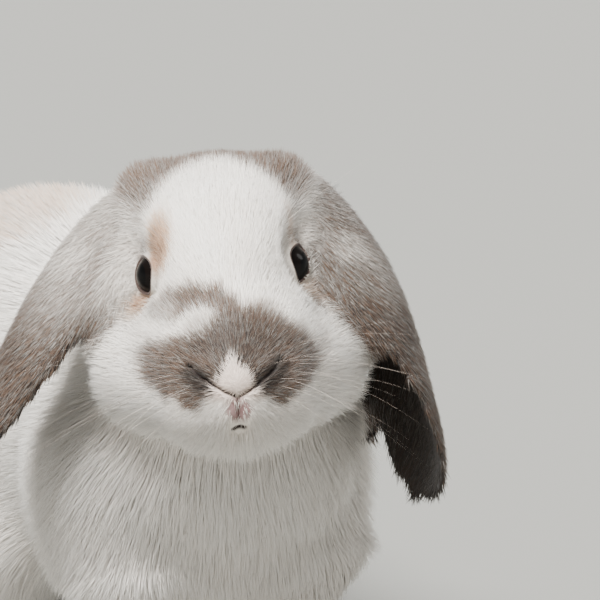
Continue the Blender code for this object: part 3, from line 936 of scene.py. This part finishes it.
def tuft_tree():
    """The tree that lays a coat on a piece of skin."""
    tree, given, result = new_tree("lay_coat", {
        "Growth": "Float", "Seed": "Int", "Stray": "Float",
        "Lock Size": "Float", "Lock Pull": "Float", "Material": "Material"})
    growth = calc(tree, "MULTIPLY", field(tree, "thick"), given["Growth"])
    scatter = tree.nodes.new("GeometryNodeDistributePointsOnFaces")
    tree.links.new(given["Geometry"], scatter.inputs["Mesh"])
    tree.links.new(growth, scatter.inputs["Density"])
    tree.links.new(given["Seed"], scatter.inputs["Seed"])
    roots = store(tree, scatter.outputs["Points"], "up", scatter.outputs["Normal"], "FLOAT_VECTOR")
    roots = store(tree, roots, "root", add(tree, "GeometryNodeInputPosition"), "FLOAT_VECTOR")
    sway = add(tree, "FunctionNodeRandomValue", {0: (-1, -1, -1), 1: (1, 1, 1), "Seed": 1}, 0,
               data_type="FLOAT_VECTOR")
    roots = store(tree, roots, "sway", sway, "FLOAT_VECTOR")
    shade = add(tree, "FunctionNodeRandomValue", {2: 0.0, 3: 1.0, "Seed": 2}, 1, data_type="FLOAT")
    roots = store(tree, roots, "shade", shade)
    blade = add(tree, "GeometryNodeMeshCone", {
        "Vertices": TUFT_SIDES, "Side Segments": TUFT_SEGMENTS, "Radius Top": 0.0,
        "Radius Bottom": 1.0, "Depth": 1.0})
    blade = store(tree, blade, "blade", add(tree, "GeometryNodeInputPosition"), "FLOAT_VECTOR")
    tufts = add(tree, "GeometryNodeInstanceOnPoints", {"Points": roots, "Instance": blade})
    coat = add(tree, "GeometryNodeRealizeInstances", {"Geometry": tufts})

    up, root, sway = (field(tree, name, "FLOAT_VECTOR") for name in ("up", "root", "sway"))
    thin, across, along = split(tree, field(tree, "blade", "FLOAT_VECTOR"))
    lean = total(tree, field(tree, "lie", "FLOAT_VECTOR"), scaled(tree, sway, given["Stray"]))
    flow = vector(tree, "NORMALIZE", level_on(tree, lean, up))
    aside = vector(tree, "CROSS_PRODUCT", flow, up)
    chance = split(tree, sway)
    reach = calc(tree, "MULTIPLY", varied(tree, "long", chance[0], *LONG_CHANCE), along)
    arc = calc(tree, "MULTIPLY", along, calc(tree, "MULTIPLY_ADD", along, -0.75, 1.75))
    rise = calc(tree, "MULTIPLY", varied(tree, "rise", chance[1], *RISE_CHANCE), arc)
    rise = calc(tree, "SUBTRACT", rise, ROOT_SINK)
    cells = tree.nodes.new("ShaderNodeTexVoronoi")
    tree.links.new(root, cells.inputs["Vector"])
    tree.links.new(calc(tree, "DIVIDE", 1.0, given["Lock Size"]), cells.inputs["Scale"])
    toward = level_on(tree, vector(tree, "SUBTRACT", cells.outputs["Position"], root), up)
    pull = calc(tree, "MULTIPLY", given["Lock Pull"], calc(tree, "MULTIPLY", along, along))
    width = calc(tree, "MULTIPLY", field(tree, "wide"), calc(tree, "MULTIPLY_ADD", along, 1.0, 0.6))
    place = total(
        tree, root, scaled(tree, flow, reach), scaled(tree, up, rise), scaled(tree, toward, pull),
        scaled(tree, aside, calc(tree, "MULTIPLY", across, width)),
        scaled(tree, up, calc(tree, "MULTIPLY", thin, calc(tree, "MULTIPLY", width, TUFT_FLAT))))
    x, y, z = split(tree, place)
    place = add(tree, "ShaderNodeCombineXYZ", {0: x, 1: y, 2: calc(tree, "MAXIMUM", z, FLOOR_GAP)})
    coat = add(tree, "GeometryNodeSetPosition", {"Geometry": coat, "Position": place})

    coat = store(tree, coat, "along", along)
    slant = calc(tree, "MULTIPLY_ADD", thin, 0.12, calc(tree, "MULTIPLY", across, 0.35))
    patch = add(tree, "ShaderNodeCombineXYZ", {0: slant, 1: calc(tree, "MULTIPLY_ADD", thin, 0.1, along)})
    spot_uv = total(tree, field(tree, "unwrap", "FLOAT_VECTOR"), scaled(tree, patch, PATCH))
    coat = store(tree, coat, "OFBake", spot_uv, "FLOAT2", "CORNER")
    for name in ("sway", "blade", "lie", "long", "wide", "rise", "thick", "unwrap"):
        coat = add(tree, "GeometryNodeRemoveAttribute", {"Geometry": coat, "Name": name})
    coat = add(tree, "GeometryNodeSetShadeSmooth", {"Geometry": coat})
    soft = scaled(tree, field(tree, "up", "FLOAT_VECTOR"), SOFT_SHADE)
    soft = vector(tree, "NORMALIZE", total(tree, soft, add(tree, "GeometryNodeInputNormal")))
    coat = add(tree, "GeometryNodeSetMeshNormal", {"Mesh": coat, "Custom Normal": soft},
               mode="FREE", domain="POINT")
    coat = add(tree, "GeometryNodeRemoveAttribute", {"Geometry": coat, "Name": "up"})
    coat = add(tree, "GeometryNodeRealizeInstances", {"Geometry": coat})
    coat = add(tree, "GeometryNodeSetMaterial", {"Geometry": coat, "Material": given["Material"]})
    tree.links.new(coat, result.inputs["Geometry"])
    return tree


TUFTS = tuft_tree()
print("the coat's tree has", len(TUFTS.nodes), "nodes")

# %% [markdown]
# ## Colours of hair and skin
# A grey-brown hair is dark at the root and pale at the tip, which is why that coat looks ticked. White
# hair is only a little warmer at the root. So each marking has two colours, one for roots and one for
# tips. Bare skin, the folds and the lids' edge have their own.

# %% Colours of hair and skin
def linear(red, green, blue):
    """A colour given as it looks on a screen, from 0 to 255, as the light it gives back."""
    return tuple(((c / 255 + 0.055) / 1.055) ** 2.4 if c > 10 else c / 255 / 12.92
                 for c in (red, green, blue)) + (1.0,)


WHITE = linear(246, 242, 235)
WHITE_ROOT = linear(226, 215, 202)
TAUPE = linear(103, 82, 68)
TAUPE_ROOT = linear(30, 22, 17)
TAN = linear(196, 162, 132)
TAN_ROOT = linear(150, 112, 84)
# The darkest hair, and the painted shade inside the ears and beside the nostrils, which share one mask.
DARK_HAIR_AND_SHADE = linear(50, 39, 31)
DARK_HAIR_AND_SHADE_ROOT = linear(19, 14, 10)
PINK = linear(152, 124, 121)
DARK_PINK = linear(120, 90, 87)
# Painted shade for the folds: the nostrils, the cleft of the lip and the mouth.
SLIT = linear(40, 27, 22)
EYE_RIM = linear(62, 47, 41)
SNIP = linear(218, 204, 192)
SNIP_ROOT = linear(196, 178, 166)
print("the grey-brown hair runs from", np.round(TAUPE_ROOT[:3], 3), "to", np.round(TAUPE[:3], 3))

# %% [markdown]
# ## One group for skin and coat
# One group turns the masks into a colour, from the place along the hair and each tuft's own shade. The
# coat and the skin under it both use that group, so that no marking can slip.

# %% One group for skin and coat
def blend_colour(tree, factor, a, b):
    """Colour a where the factor is 0, and b where it is 1."""
    return add(tree, "ShaderNodeMix", {0: factor, 6: a, 7: b}, 2, data_type="RGBA", clamp_factor=True)


def soft_step(tree, low, high, value):
    """0 below low, 1 above high, and a smooth rise between them."""
    return add(tree, "ShaderNodeMapRange", {"Value": value, "From Min": low, "From Max": high},
               interpolation_type="SMOOTHSTEP")


def coat_group():
    """The group that turns masks and a place along the hair into a colour."""
    tree = bpy.data.node_groups.new("coat_colour", "ShaderNodeTree")
    for name in ("Taupe", "Tan", "Dark_Hair_And_Shade", "Snip", "Shade", "Along"):
        tree.interface.new_socket(name, in_out="INPUT", socket_type="NodeSocketFloat")
    tree.interface.new_socket("Place", in_out="INPUT", socket_type="NodeSocketVector")
    tree.interface.new_socket("Color", in_out="OUTPUT", socket_type="NodeSocketColor")
    given, result = tree.nodes.new("NodeGroupInput").outputs, tree.nodes.new("NodeGroupOutput")
    drift = add(tree, "ShaderNodeTexNoise", {"Vector": given["Place"], "Scale": 90.0, "Detail": 2.0})
    along = calc(tree, "MULTIPLY_ADD", calc(tree, "SUBTRACT", drift, 0.5), 0.5, given["Along"])
    tick = calc(tree, "MULTIPLY_ADD", calc(tree, "SUBTRACT", given["Shade"], 0.65), 0.9, along)
    chance = calc(tree, "MULTIPLY", calc(tree, "SUBTRACT", given["Shade"], 0.5), 0.5)
    colour = blend_colour(tree, along, WHITE_ROOT, WHITE)
    steps = (("Tan", TAN_ROOT, TAN), ("Taupe", TAUPE_ROOT, TAUPE), ("Dark_Hair_And_Shade", DARK_HAIR_AND_SHADE_ROOT, DARK_HAIR_AND_SHADE))
    for name, root, tip in steps:
        own = blend_colour(tree, soft_step(tree, 0.0, 1.0, tick), root, tip)
        mask = calc(tree, "MULTIPLY_ADD", chance, soft_step(tree, 0.0, 0.3, given[name]), given[name])
        colour = blend_colour(tree, mask, colour, own)
    colour = blend_colour(tree, given["Snip"], colour, blend_colour(tree, tick, SNIP_ROOT, SNIP))
    level = calc(tree, "MULTIPLY_ADD", given["Shade"], 0.2, 0.86)
    grey = add(tree, "ShaderNodeCombineXYZ", {0: level, 1: level, 2: level})
    colour = add(tree, "ShaderNodeMix", {0: 1.0, 6: colour, 7: grey}, 2,
                 data_type="RGBA", blend_type="MULTIPLY")
    tree.links.new(colour, result.inputs["Color"])
    return tree


COAT_COLOUR = coat_group()
print("the colour group has", len(COAT_COLOUR.nodes), "nodes")

# %% [markdown]
# ## Hair and skin
# Hair is rough, with a little sheen. Skin has a fine bump for the underfur, and turns pink at the lips,
# dark with painted shade in the folds, and darker still at the lids' edge.

# %% Hair and skin
def new_material(name, **values):
    """A material whose shader has these values, and its tree."""
    material = bpy.data.materials.new(name)
    material.use_nodes = True
    tree = material.node_tree
    shader = tree.nodes["Principled BSDF"]
    for key, value in values.items():
        shader.inputs[key.replace("_", " ")].default_value = value
    return material, tree, shader


def own(tree, name, output="Fac"):
    """A value of the piece itself, by name."""
    return add(tree, "ShaderNodeAttribute", None, output, attribute_name=name)


def coloured_by_masks(tree, shade, along, place):
    """The group's colour for the masks of the piece itself."""
    group = tree.nodes.new("ShaderNodeGroup")
    group.node_tree = COAT_COLOUR
    for socket, name in (("Taupe", "taupe"), ("Tan", "tan"), ("Dark_Hair_And_Shade", "dark_hair_and_shade"), ("Snip", "snip")):
        tree.links.new(own(tree, name), group.inputs[socket])
    for socket, value in (("Shade", shade), ("Along", along), ("Place", place)):
        tree.links.new(value, group.inputs[socket])
    return group.outputs["Color"]


def hair_material():
    """Hair, dark at its root and pale at its tip."""
    material, tree, shader = new_material(
        "rabbit_hair", Roughness=0.62, Sheen_Weight=0.1, Sheen_Roughness=0.5, Specular_IOR_Level=0.22)
    colour = coloured_by_masks(tree, own(tree, "shade"), own(tree, "along"), own(tree, "root", "Vector"))
    tree.links.new(colour, shader.inputs["Base Color"])
    return material


def skin_material():
    """Skin and its short underfur: the coat's colours, a fine bump, pink lips, painted shade in the folds,
    dark lids' edges.
    """
    material, tree, shader = new_material(
        "rabbit_skin", Roughness=0.7, Sheen_Weight=0.15, Specular_IOR_Level=0.3)
    place = add(tree, "ShaderNodeTexCoord", None, "Object")
    fine = add(tree, "ShaderNodeTexNoise", {"Vector": place, "Scale": 1400.0, "Detail": 3.0})
    colour = coloured_by_masks(tree, fine, calc(tree, "MULTIPLY", fine, 0.5), place)
    flush = add(tree, "ShaderNodeTexNoise", {"Vector": place, "Scale": 350.0, "Detail": 3.0})
    pink = blend_colour(tree, soft_step(tree, 0.35, 0.65, flush), DARK_PINK, PINK)
    colour = blend_colour(tree, soft_step(tree, 0.25, 0.8, own(tree, "bare")), colour, pink)
    # Painted shade in the folds of nose, lip and mouth.
    colour = blend_colour(tree, soft_step(tree, 0.2, 0.7, own(tree, "slit")), colour, SLIT)
    colour = blend_colour(tree, soft_step(tree, 0.3, 0.8, own(tree, "lid")), colour, EYE_RIM)
    tree.links.new(colour, shader.inputs["Base Color"])
    bump = add(tree, "ShaderNodeBump", {"Height": fine, "Strength": 0.5, "Distance": 0.0004})
    tree.links.new(bump, shader.inputs["Normal"])
    return material


HAIR = hair_material()
SKIN = skin_material()
print("materials:", HAIR.name, SKIN.name)

# %% [markdown]
# ## The skin as a piece
# The skin replaces every node of flesh. It stays in sight at the lids, in the nostrils and at the mouth,
# and between the tufts it carries the coat's own colours.

# %% The skin as a piece
skin = shown(skin_mesh, "skin")
skin_mesh.shade_smooth()
skin_mesh.materials.clear()
skin_mesh.materials.append(SKIN)
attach(skin, "root")
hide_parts(*FLESH)
print("skin:", triangle_count(skin_mesh), "triangles")

# %% [markdown]
# ## Laying the coat
# The skin is cut, by its shares, into patches of under 200,000 triangles of coat each. Every patch is
# unwrapped by its own shape before the tufts grow, and each tuft keeps the place of its root on that
# unwrap. The face gets the most and the smallest tufts.

# %% Laying the coat
#  patch: tufts, stray, lock size in mm, lock pull
PATCHES = {
    "coat_muzzle": (26000, 0.30, 1.6, 0.20),
    "coat_head": (47000, 0.26, 3.0, 0.30),
    "coat_ear_left": (25000, 0.24, 3.0, 0.25),
    "coat_ear_right": (25000, 0.24, 3.0, 0.25),
    "coat_chest": (49500, 0.24, 5.0, 0.22),
    "coat_flank_left": (43000, 0.26, 6.0, 0.2),
    "coat_flank_right": (43000, 0.26, 6.0, 0.2),
    "coat_rump": (41000, 0.26, 6.0, 0.2),
    "coat_forelegs": (22000, 0.24, 4.0, 0.30),
    "coat_hindlegs": (38000, 0.24, 5.0, 0.2),
    "coat_tail": (9000, 0.58, 5.0, 0.2),
}
MUZZLE_FROM = -22
COAT_SEED = 11
ISLAND_ANGLE = math.radians(72)
ISLAND_MARGIN = 0.006


def patch_of_faces(mesh, shares):
    """The number of the patch that each face of the skin belongs to."""
    corners = np.array([face.vertices[0] for face in mesh.polygons])
    points = places(mesh)[corners]
    head = in_head(points)
    part = np.array(PARTS)[shares[corners].argmax(axis=1)]
    names = list(PATCHES)
    patch_of = {"head": "coat_head", "neck": "coat_chest", "chest": "coat_chest", "rump": "coat_rump",
                "tail": "coat_tail", "foreleg": "coat_forelegs", "forepaw": "coat_forelegs",
                "thigh": "coat_hindlegs", "hind_foot": "coat_hindlegs"}
    middle_x = float(cad_low.x + cad_high.x) / 2
    chosen = np.empty(len(corners), int)
    for i, name in enumerate(part):
        if name == "ear":
            chosen[i] = names.index("coat_ear_left" if head[i, 0] > 0 else "coat_ear_right")
        elif name == "trunk":
            chosen[i] = names.index("coat_flank_left" if points[i, 0] > middle_x else "coat_flank_right")
        elif name == "head" and head[i, 1] < MUZZLE_FROM:
            chosen[i] = names.index("coat_muzzle")
        else:
            chosen[i] = names.index(patch_of[name])
    return chosen


def cut_patch(mesh, keep, name):
    """A copy of the skin with only these faces."""
    copy = mesh.copy()
    work = bmesh.new()
    work.from_mesh(copy)
    work.faces.ensure_lookup_table()
    dropped = [face for face, kept in zip(work.faces, keep) if not kept]
    bmesh.ops.delete(work, geom=dropped, context="FACES")
    work.to_mesh(copy)
    work.free()
    return shown(copy, name)


def unwrapped(piece):
    """Unwraps the patch by its own shape and keeps the result as a vector that the tree can read."""
    bpy.ops.object.select_all(action="DESELECT")
    piece.select_set(True)
    bpy.context.view_layer.objects.active = piece
    piece.data.uv_layers.new(name="map")
    bpy.ops.object.mode_set(mode="EDIT")
    bpy.ops.mesh.select_all(action="SELECT")
    bpy.ops.uv.smart_project(angle_limit=ISLAND_ANGLE, island_margin=ISLAND_MARGIN)
    bpy.ops.object.mode_set(mode="OBJECT")
    uv = read(piece.data.uv_layers["map"].uv, "vector", 2)
    layer = piece.data.attributes.new("unwrap", "FLOAT_VECTOR", "CORNER")
    layer.data.foreach_set("vector", np.c_[uv, np.zeros(len(uv))].astype(np.float32).ravel())
    piece.data.uv_layers.remove(piece.data.uv_layers["map"])


def thick_area(mesh):
    """The area of a patch, each face counted by how thick its coat grows."""
    thick = read(mesh.attributes["thick"].data, "value")
    return sum(face.area * thick[face.vertices[0]] for face in mesh.polygons)


def lay_coat():
    """Grows every patch of the coat, as a piece of its own."""
    patch = patch_of_faces(skin_mesh, shares)
    count = 0
    for i, (name, (tufts, stray, lock, pull)) in enumerate(PATCHES.items()):
        piece = cut_patch(skin_mesh, patch == i, name + "_skin")
        unwrapped(piece)
        growth = tufts / thick_area(piece.data)
        coat = shown(grown_by(piece, TUFTS, {
            "Growth": growth, "Seed": COAT_SEED + i, "Stray": stray,
            "Lock Size": lock * MM, "Lock Pull": pull, "Material": HAIR}), name)
        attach(coat, "root")
        triangles = triangle_count(coat.data)
        count += triangles
        print(name, round(growth / 1e6, 2), "tufts per square mm,", triangles, "triangles")
    print("coat:", count, "triangles")


lay_coat()

# %% [markdown]
# ## Whiskers
# A rabbit carries rows of long stiff whiskers on each side of the muzzle and a few over each eye. Each is
# a hair a sixth of a millimetre thick at its root, thinning to a point and bowing back and down under its
# own weight. One tree bends a cone along each, from the direction and the bow kept at its root.

# %% Whiskers
WHISKER_SIDES = 5
WHISKER_SEGMENTS = 14
WHISKER_WIDE = 0.085 * MM
WHISKER_SINK = 1.0 * MM
WHISKER_SEED = 5
BOX_OVER = 8.0 * MM
BOX_OVER_SHARE = 0.03
PAD_ROWS = 4
PAD_COLUMNS = 4
PAD_START = np.array((13.0, -45.0, -20.5))
PAD_COLUMN_STEP = np.array((3.8, 3.8, 1.0))
PAD_ROW_STEP = np.array((0.8, 0.0, -3.8))
BROWS = [
    # place on the head in mm, way it points, length in mm, all for the left side
    ((20.0, -8.0, 14.0), (0.30, -0.10, 0.95), 44),
    ((22.5, -6.0, 15.0), (0.55, -0.05, 0.83), 42),
    ((24.0, -4.0, 14.0), (0.72, 0.05, 0.66), 38),
    ((25.5, -2.0, 12.0), (0.95, 0.05, 0.30), 30),
]


def whisker_tree():
    """The tree that grows a bowed, pointed hair from each point."""
    tree, given, result = new_tree("grow_whiskers", {"Width": "Float", "Material": "Material"})
    points = add(tree, "GeometryNodeMeshToPoints", {"Mesh": given["Geometry"]})
    points = store(tree, points, "root", add(tree, "GeometryNodeInputPosition"), "FLOAT_VECTOR")
    cone = add(tree, "GeometryNodeMeshCone", {
        "Vertices": WHISKER_SIDES, "Side Segments": WHISKER_SEGMENTS,
        "Radius Top": 0.0, "Radius Bottom": 1.0, "Depth": 1.0})
    cone = store(tree, cone, "blade", add(tree, "GeometryNodeInputPosition"), "FLOAT_VECTOR")
    hairs = add(tree, "GeometryNodeInstanceOnPoints", {"Points": points, "Instance": cone})
    hairs = add(tree, "GeometryNodeRealizeInstances", {"Geometry": hairs})
    aim, bow, root = (field(tree, name, "FLOAT_VECTOR") for name in ("aim", "bow", "root"))
    x, y, along = split(tree, field(tree, "blade", "FLOAT_VECTOR"))
    aside = vector(tree, "NORMALIZE", vector(tree, "CROSS_PRODUCT", (0.0, 0.0, 1.0), aim))
    over = vector(tree, "CROSS_PRODUCT", aim, aside)
    place = total(
        tree, root, scaled(tree, aim, along), scaled(tree, bow, calc(tree, "MULTIPLY", along, along)),
        scaled(tree, aside, calc(tree, "MULTIPLY", x, given["Width"])),
        scaled(tree, over, calc(tree, "MULTIPLY", y, given["Width"])))
    hairs = add(tree, "GeometryNodeSetPosition", {"Geometry": hairs, "Position": place})
    for name in ("aim", "bow", "root", "blade"):
        hairs = add(tree, "GeometryNodeRemoveAttribute", {"Geometry": hairs, "Name": name})
    hairs = add(tree, "GeometryNodeSetShadeSmooth", {"Geometry": hairs})
    hairs = add(tree, "GeometryNodeRealizeInstances", {"Geometry": hairs})
    hairs = add(tree, "GeometryNodeSetMaterial", {"Geometry": hairs, "Material": given["Material"]})
    tree.links.new(hairs, result.inputs["Geometry"])
    return tree


def whisker_plan():
    """Root, direction times length, and bow at the tip of each whisker, in mm on the head's axes."""
    chance = np.random.default_rng(WHISKER_SEED)
    plan = []
    for side in EYES:
        for row in range(PAD_ROWS):
            for column in range(PAD_COLUMNS):
                root = PAD_START + PAD_COLUMN_STEP * column + PAD_ROW_STEP * row
                root = root * (side, 1, 1) + chance.normal(0, 0.5, 3)
                way = np.array((side * 0.95, -0.30 + 0.06 * column, 0.26 - 0.22 * row))
                way = way + chance.normal(0, 0.11, 3)
                long = 40 + 8.0 * column + chance.uniform(-7, 9)
                bow = np.array((0.0, 4.0, -11.0 - 2.0 * row)) * long / 50 + chance.normal(0, 1.5, 3)
                plan.append((root, unit(way) * long, bow))
        for at, way, long in BROWS:
            way = np.array(way) * (side, 1, 1) + chance.normal(0, 0.04, 3)
            bow = np.array((side * 3.0, 3.0, -3.0)) + chance.normal(0, 1.0, 3)
            plan.append(((side * at[0], at[1], at[2]), unit(way) * long, bow))
    return plan


def whisker_roots():
    """The whiskers' roots as a mesh of points just under the skin, with their directions kept on it."""
    corners = [vertex.co for vertex in skin_mesh.vertices]
    surface = BVHTree.FromPolygons(corners, [face.vertices for face in skin_mesh.polygons])
    low, high = np.array(cad_low), np.array(cad_high)
    reach = BOX_OVER + BOX_OVER_SHARE * (high - low)
    roots, aims, bows = [], [], []
    for at, aim, bow in whisker_plan():
        found, normal = surface.find_nearest(Vector(from_head(at)))[:2]
        root = np.array(found) - np.array(normal) * WHISKER_SINK
        aim, bow = np.array(aim) * MM @ HEAD_AXES, np.array(bow) * MM @ HEAD_AXES
        tip = aim + bow
        room = np.where(tip > 0, high + reach - root, root - low + reach)
        short = min(1.0, float((room / np.maximum(np.abs(tip), 1e-6)).min()))
        roots.append(root)
        aims.append(aim * short)
        bows.append(bow * short)
    mesh = bpy.data.meshes.new("whisker_roots")
    mesh.from_pydata([tuple(root) for root in roots], [], [])
    keep_value(mesh, "aim", np.array(aims))
    keep_value(mesh, "bow", np.array(bows))
    return shown(mesh, "whisker_roots")


def whisker_material():
    """Pale stiff hair, a little uneven."""
    material, tree, shader = new_material("whisker_hair", Roughness=0.4)
    place = add(tree, "ShaderNodeTexCoord", None, "Object")
    drift = add(tree, "ShaderNodeTexNoise", {"Vector": place, "Scale": 60.0, "Detail": 2.0})
    tree.links.new(blend_colour(tree, drift, SNIP_ROOT, WHITE_ROOT), shader.inputs["Base Color"])
    return material


whiskers = shown(grown_by(whisker_roots(), whisker_tree(), {
    "Width": WHISKER_WIDE, "Material": whisker_material()}), "whiskers")
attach(whiskers, "root")
print("whiskers:", len(whiskers.data.polygons), "faces")

# %% [markdown]
# ## Eyes
# A rabbit's eye is a dark ball with a wide pupil, a deep brown iris and a wet front. The frame's
# faceted ball is replaced by a fine one of the same size and place, turned so that its pole looks out.

# %% Eyes
EYE_RINGS = 48
EYE_COLUMNS = 64
IRIS = linear(8, 6, 5)
IRIS_LIGHT = linear(15, 9, 7)
PUPIL = linear(3, 3, 3)
EYE_WHITE = linear(18, 13, 11)
PUPIL_EDGE = (0.50, 0.56)
IRIS_EDGE = (0.98, 1.06)
CORNEA_RISE = 0.045
EYE_SHRINK = 0.02 * MM


def eye_material():
    """Pupil, iris and white, by the angle from the look, under a thin wet coat."""
    material, tree, shader = new_material(
        "rabbit_eye", Roughness=0.3, Coat_Weight=0.14, Coat_Roughness=0.02, Specular_IOR_Level=0.05)
    polar, turn = own(tree, "polar"), own(tree, "turn")
    ray = add(tree, "ShaderNodeCombineXYZ", {
        0: calc(tree, "MULTIPLY", turn, 14.0), 1: calc(tree, "MULTIPLY", polar, 1.5)})
    streaks = add(tree, "ShaderNodeTexNoise", {"Vector": ray, "Scale": 2.0, "Detail": 4.0})
    iris = blend_colour(tree, streaks, IRIS, IRIS_LIGHT)
    colour = blend_colour(tree, soft_step(tree, *PUPIL_EDGE, polar), PUPIL, iris)
    colour = blend_colour(tree, soft_step(tree, *IRIS_EDGE, polar), colour, EYE_WHITE)
    tree.links.new(colour, shader.inputs["Base Color"])
    return material


def eyeball(side, material):
    """A smooth ball in place of the frame's, with the angle from its look kept at each point."""
    look, forward, _ = eye_axes(side)
    work = bmesh.new()
    bmesh.ops.create_uvsphere(work, u_segments=EYE_COLUMNS, v_segments=EYE_RINGS, radius=1.0)
    mesh = bpy.data.meshes.new(EYES[side])
    work.to_mesh(mesh)
    work.free()
    ball = places(mesh)
    polar = np.arccos(np.clip(ball[:, 2], -1, 1))
    cornea = 1 + CORNEA_RISE * ramp(0.75, 0.0, polar)
    axes = np.array((forward, np.cross(look, forward), look))
    move_to(mesh, EYE_AT[side] + (ball * cornea[:, None] * (EYE_RADIUS - EYE_SHRINK)) @ axes)
    keep_value(mesh, "polar", polar)
    keep_value(mesh, "turn", np.abs(np.arctan2(ball[:, 1], ball[:, 0])))
    mesh.shade_smooth()
    mesh.materials.append(material)
    piece = shown(mesh, EYES[side] + "_ball")
    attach(piece, "root")
    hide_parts(EYES[side])


eye_finish = eye_material()
for side in EYES:
    eyeball(side, eye_finish)
print(len(EYES), "eyes of", EYE_COLUMNS, "by", EYE_RINGS, "faces")

# %% [markdown]
# ## Claws
# The claws are pale horn. Each paw's claws are one piece, rounded from copies of the frame's by two
# levels of subdivision.

# %% Claws
HORN = linear(196, 178, 156)
HORN_TIP = linear(120, 98, 80)
CLAW_LEVELS = 2


def claw_material():
    """Horn with a fine grain."""
    material, tree, shader = new_material("claw_horn", Roughness=0.35, Coat_Weight=0.2)
    place = add(tree, "ShaderNodeTexCoord", None, "Object")
    grain = add(tree, "ShaderNodeTexNoise", {"Vector": place, "Scale": 900.0, "Detail": 3.0})
    colour = blend_colour(tree, grain, HORN_TIP, HORN)
    tree.links.new(colour, shader.inputs["Base Color"])
    bump = add(tree, "ShaderNodeBump", {"Height": grain, "Strength": 0.3, "Distance": 0.0002})
    tree.links.new(bump, shader.inputs["Normal"])
    return material


def paw_claws(paw, material):
    """The claws of one paw as one smooth piece."""
    nodes = [name for name in CLAWS if name.startswith("claw_" + paw)]
    rough = shown(copied(nodes, 0.0), "claws_rough")
    smooth = rough.modifiers.new("round", "SUBSURF")
    smooth.levels = smooth.render_levels = CLAW_LEVELS
    piece = shown(baked(rough), "claws_" + paw)
    piece.data.shade_smooth()
    piece.data.materials.clear()
    piece.data.materials.append(material)
    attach(piece, "root")
    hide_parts(*nodes)


claw_finish = claw_material()
for paw in ("forepaw_left", "forepaw_right", "hind_foot_left", "hind_foot_right"):
    paw_claws(paw, claw_finish)
    print("claws of the", paw.replace("_", " "))

# %% [markdown]
# ## Floor, light and camera
# The floor is plain and pale. One wide light falls from above and from the animal's right, and two weak
# soft ones stand in front of it to either side. The sky is paler at the horizon than overhead. The
# camera stands low, in front and to the animal's right, and frames the head and chest.

# %% Floor, light and camera
FLOOR = linear(131, 131, 127)
FLOOR_REACH = 30.0
SKY = (0.95, 0.95, 0.94, 1.0)
SKY_LOW = 1.0
SKY_HIGH = 0.42
SKY_HIGH_FROM = 0.3
WARM_LIGHT = (1.0, 0.99, 0.97)
COOL_LIGHT = (0.96, 0.98, 1.0)
LIT_AT = (0, 0, 0.1)
CAMERA_AZIMUTH = math.radians(-33)
CAMERA_ELEVATION = math.radians(10)
CAMERA_FAR = 0.75
CAMERA_LENS = 140.6
FRAMED_ASIDE = 24.6 * MM
FRAMED_BELOW = 9.1 * MM


def make_floor():
    """One large square at floor level."""
    mesh = bpy.data.meshes.new("floor")
    corners = [(x * FLOOR_REACH, y * FLOOR_REACH, 0) for x, y in ((-1, -1), (1, -1), (1, 1), (-1, 1))]
    mesh.from_pydata(corners, [], [(0, 1, 2, 3)])
    mesh.materials.append(new_material("pale_floor", Roughness=0.9, Base_Color=FLOOR)[0])
    shown(mesh, "floor")


def soft_light(name, at, target, size, power, colour):
    """A round lamp that looks at its target."""
    light = bpy.data.lights.new(name, "AREA")
    light.shape = "DISK"
    light.size = size
    light.energy = power
    light.color = colour
    lamp = bpy.data.objects.new(name, light)
    lamp.location = at
    lamp.rotation_euler = (Vector(target) - Vector(at)).to_track_quat("-Z", "Y").to_euler()
    bpy.context.scene.collection.objects.link(lamp)


def sky_light(name, toward, spread, power, colour):
    """A wide light that falls everywhere from one side of the sky, as through a large soft ceiling."""
    light = bpy.data.lights.new(name, "SUN")
    light.angle = math.radians(spread)
    light.energy = power
    light.color = colour
    lamp = bpy.data.objects.new(name, light)
    lamp.rotation_euler = (-Vector(toward)).to_track_quat("-Z", "Y").to_euler()
    bpy.context.scene.collection.objects.link(lamp)


def make_sky():
    """A plain sky whose strength falls off from the horizon upwards."""
    world = bpy.data.worlds.new("soft_room")
    world.use_nodes = True
    tree = world.node_tree
    height = split(tree, add(tree, "ShaderNodeTexCoord", None, "Generated"))[2]
    background = tree.nodes["Background"].inputs
    background["Color"].default_value = SKY
    strength = add(tree, "ShaderNodeMapRange", {
        "Value": height, "From Min": 0.0, "From Max": SKY_HIGH_FROM,
        "To Min": SKY_LOW, "To Max": SKY_HIGH}, interpolation_type="SMOOTHSTEP")
    tree.links.new(strength, background["Strength"])
    bpy.context.scene.world = world


def make_camera():
    """The camera, placed from the head so that it keeps its framing."""
    back = Vector((math.sin(CAMERA_AZIMUTH) * math.cos(CAMERA_ELEVATION),
                   -math.cos(CAMERA_AZIMUTH) * math.cos(CAMERA_ELEVATION), math.sin(CAMERA_ELEVATION)))
    right = Vector((math.cos(CAMERA_AZIMUTH), math.sin(CAMERA_AZIMUTH), 0))
    look_at = Vector(HEAD_AT) + right * FRAMED_ASIDE - back.cross(right) * FRAMED_BELOW
    camera = bpy.data.objects.new("camera", bpy.data.cameras.new("camera"))
    camera.data.lens = CAMERA_LENS
    camera.data.clip_start = 0.01
    camera.location = look_at + back * CAMERA_FAR
    camera.rotation_euler = (-back).to_track_quat("-Z", "Y").to_euler()
    bpy.context.scene.collection.objects.link(camera)
    bpy.context.scene.camera = camera


make_floor()
sky_light("key", toward=(-0.42, -0.16, 0.9), spread=34, power=12.5, colour=WARM_LIGHT)
soft_light("fill", at=(-1.4, -1.2, 0.5), target=LIT_AT, size=1.2, power=3.0, colour=COOL_LIGHT)
soft_light("side", at=(1.3, -0.7, 1.0), target=LIT_AT, size=0.6, power=5.0, colour=WARM_LIGHT)
make_sky()
make_camera()
print("the camera looks from", [round(v, 3) for v in bpy.context.scene.camera.location])
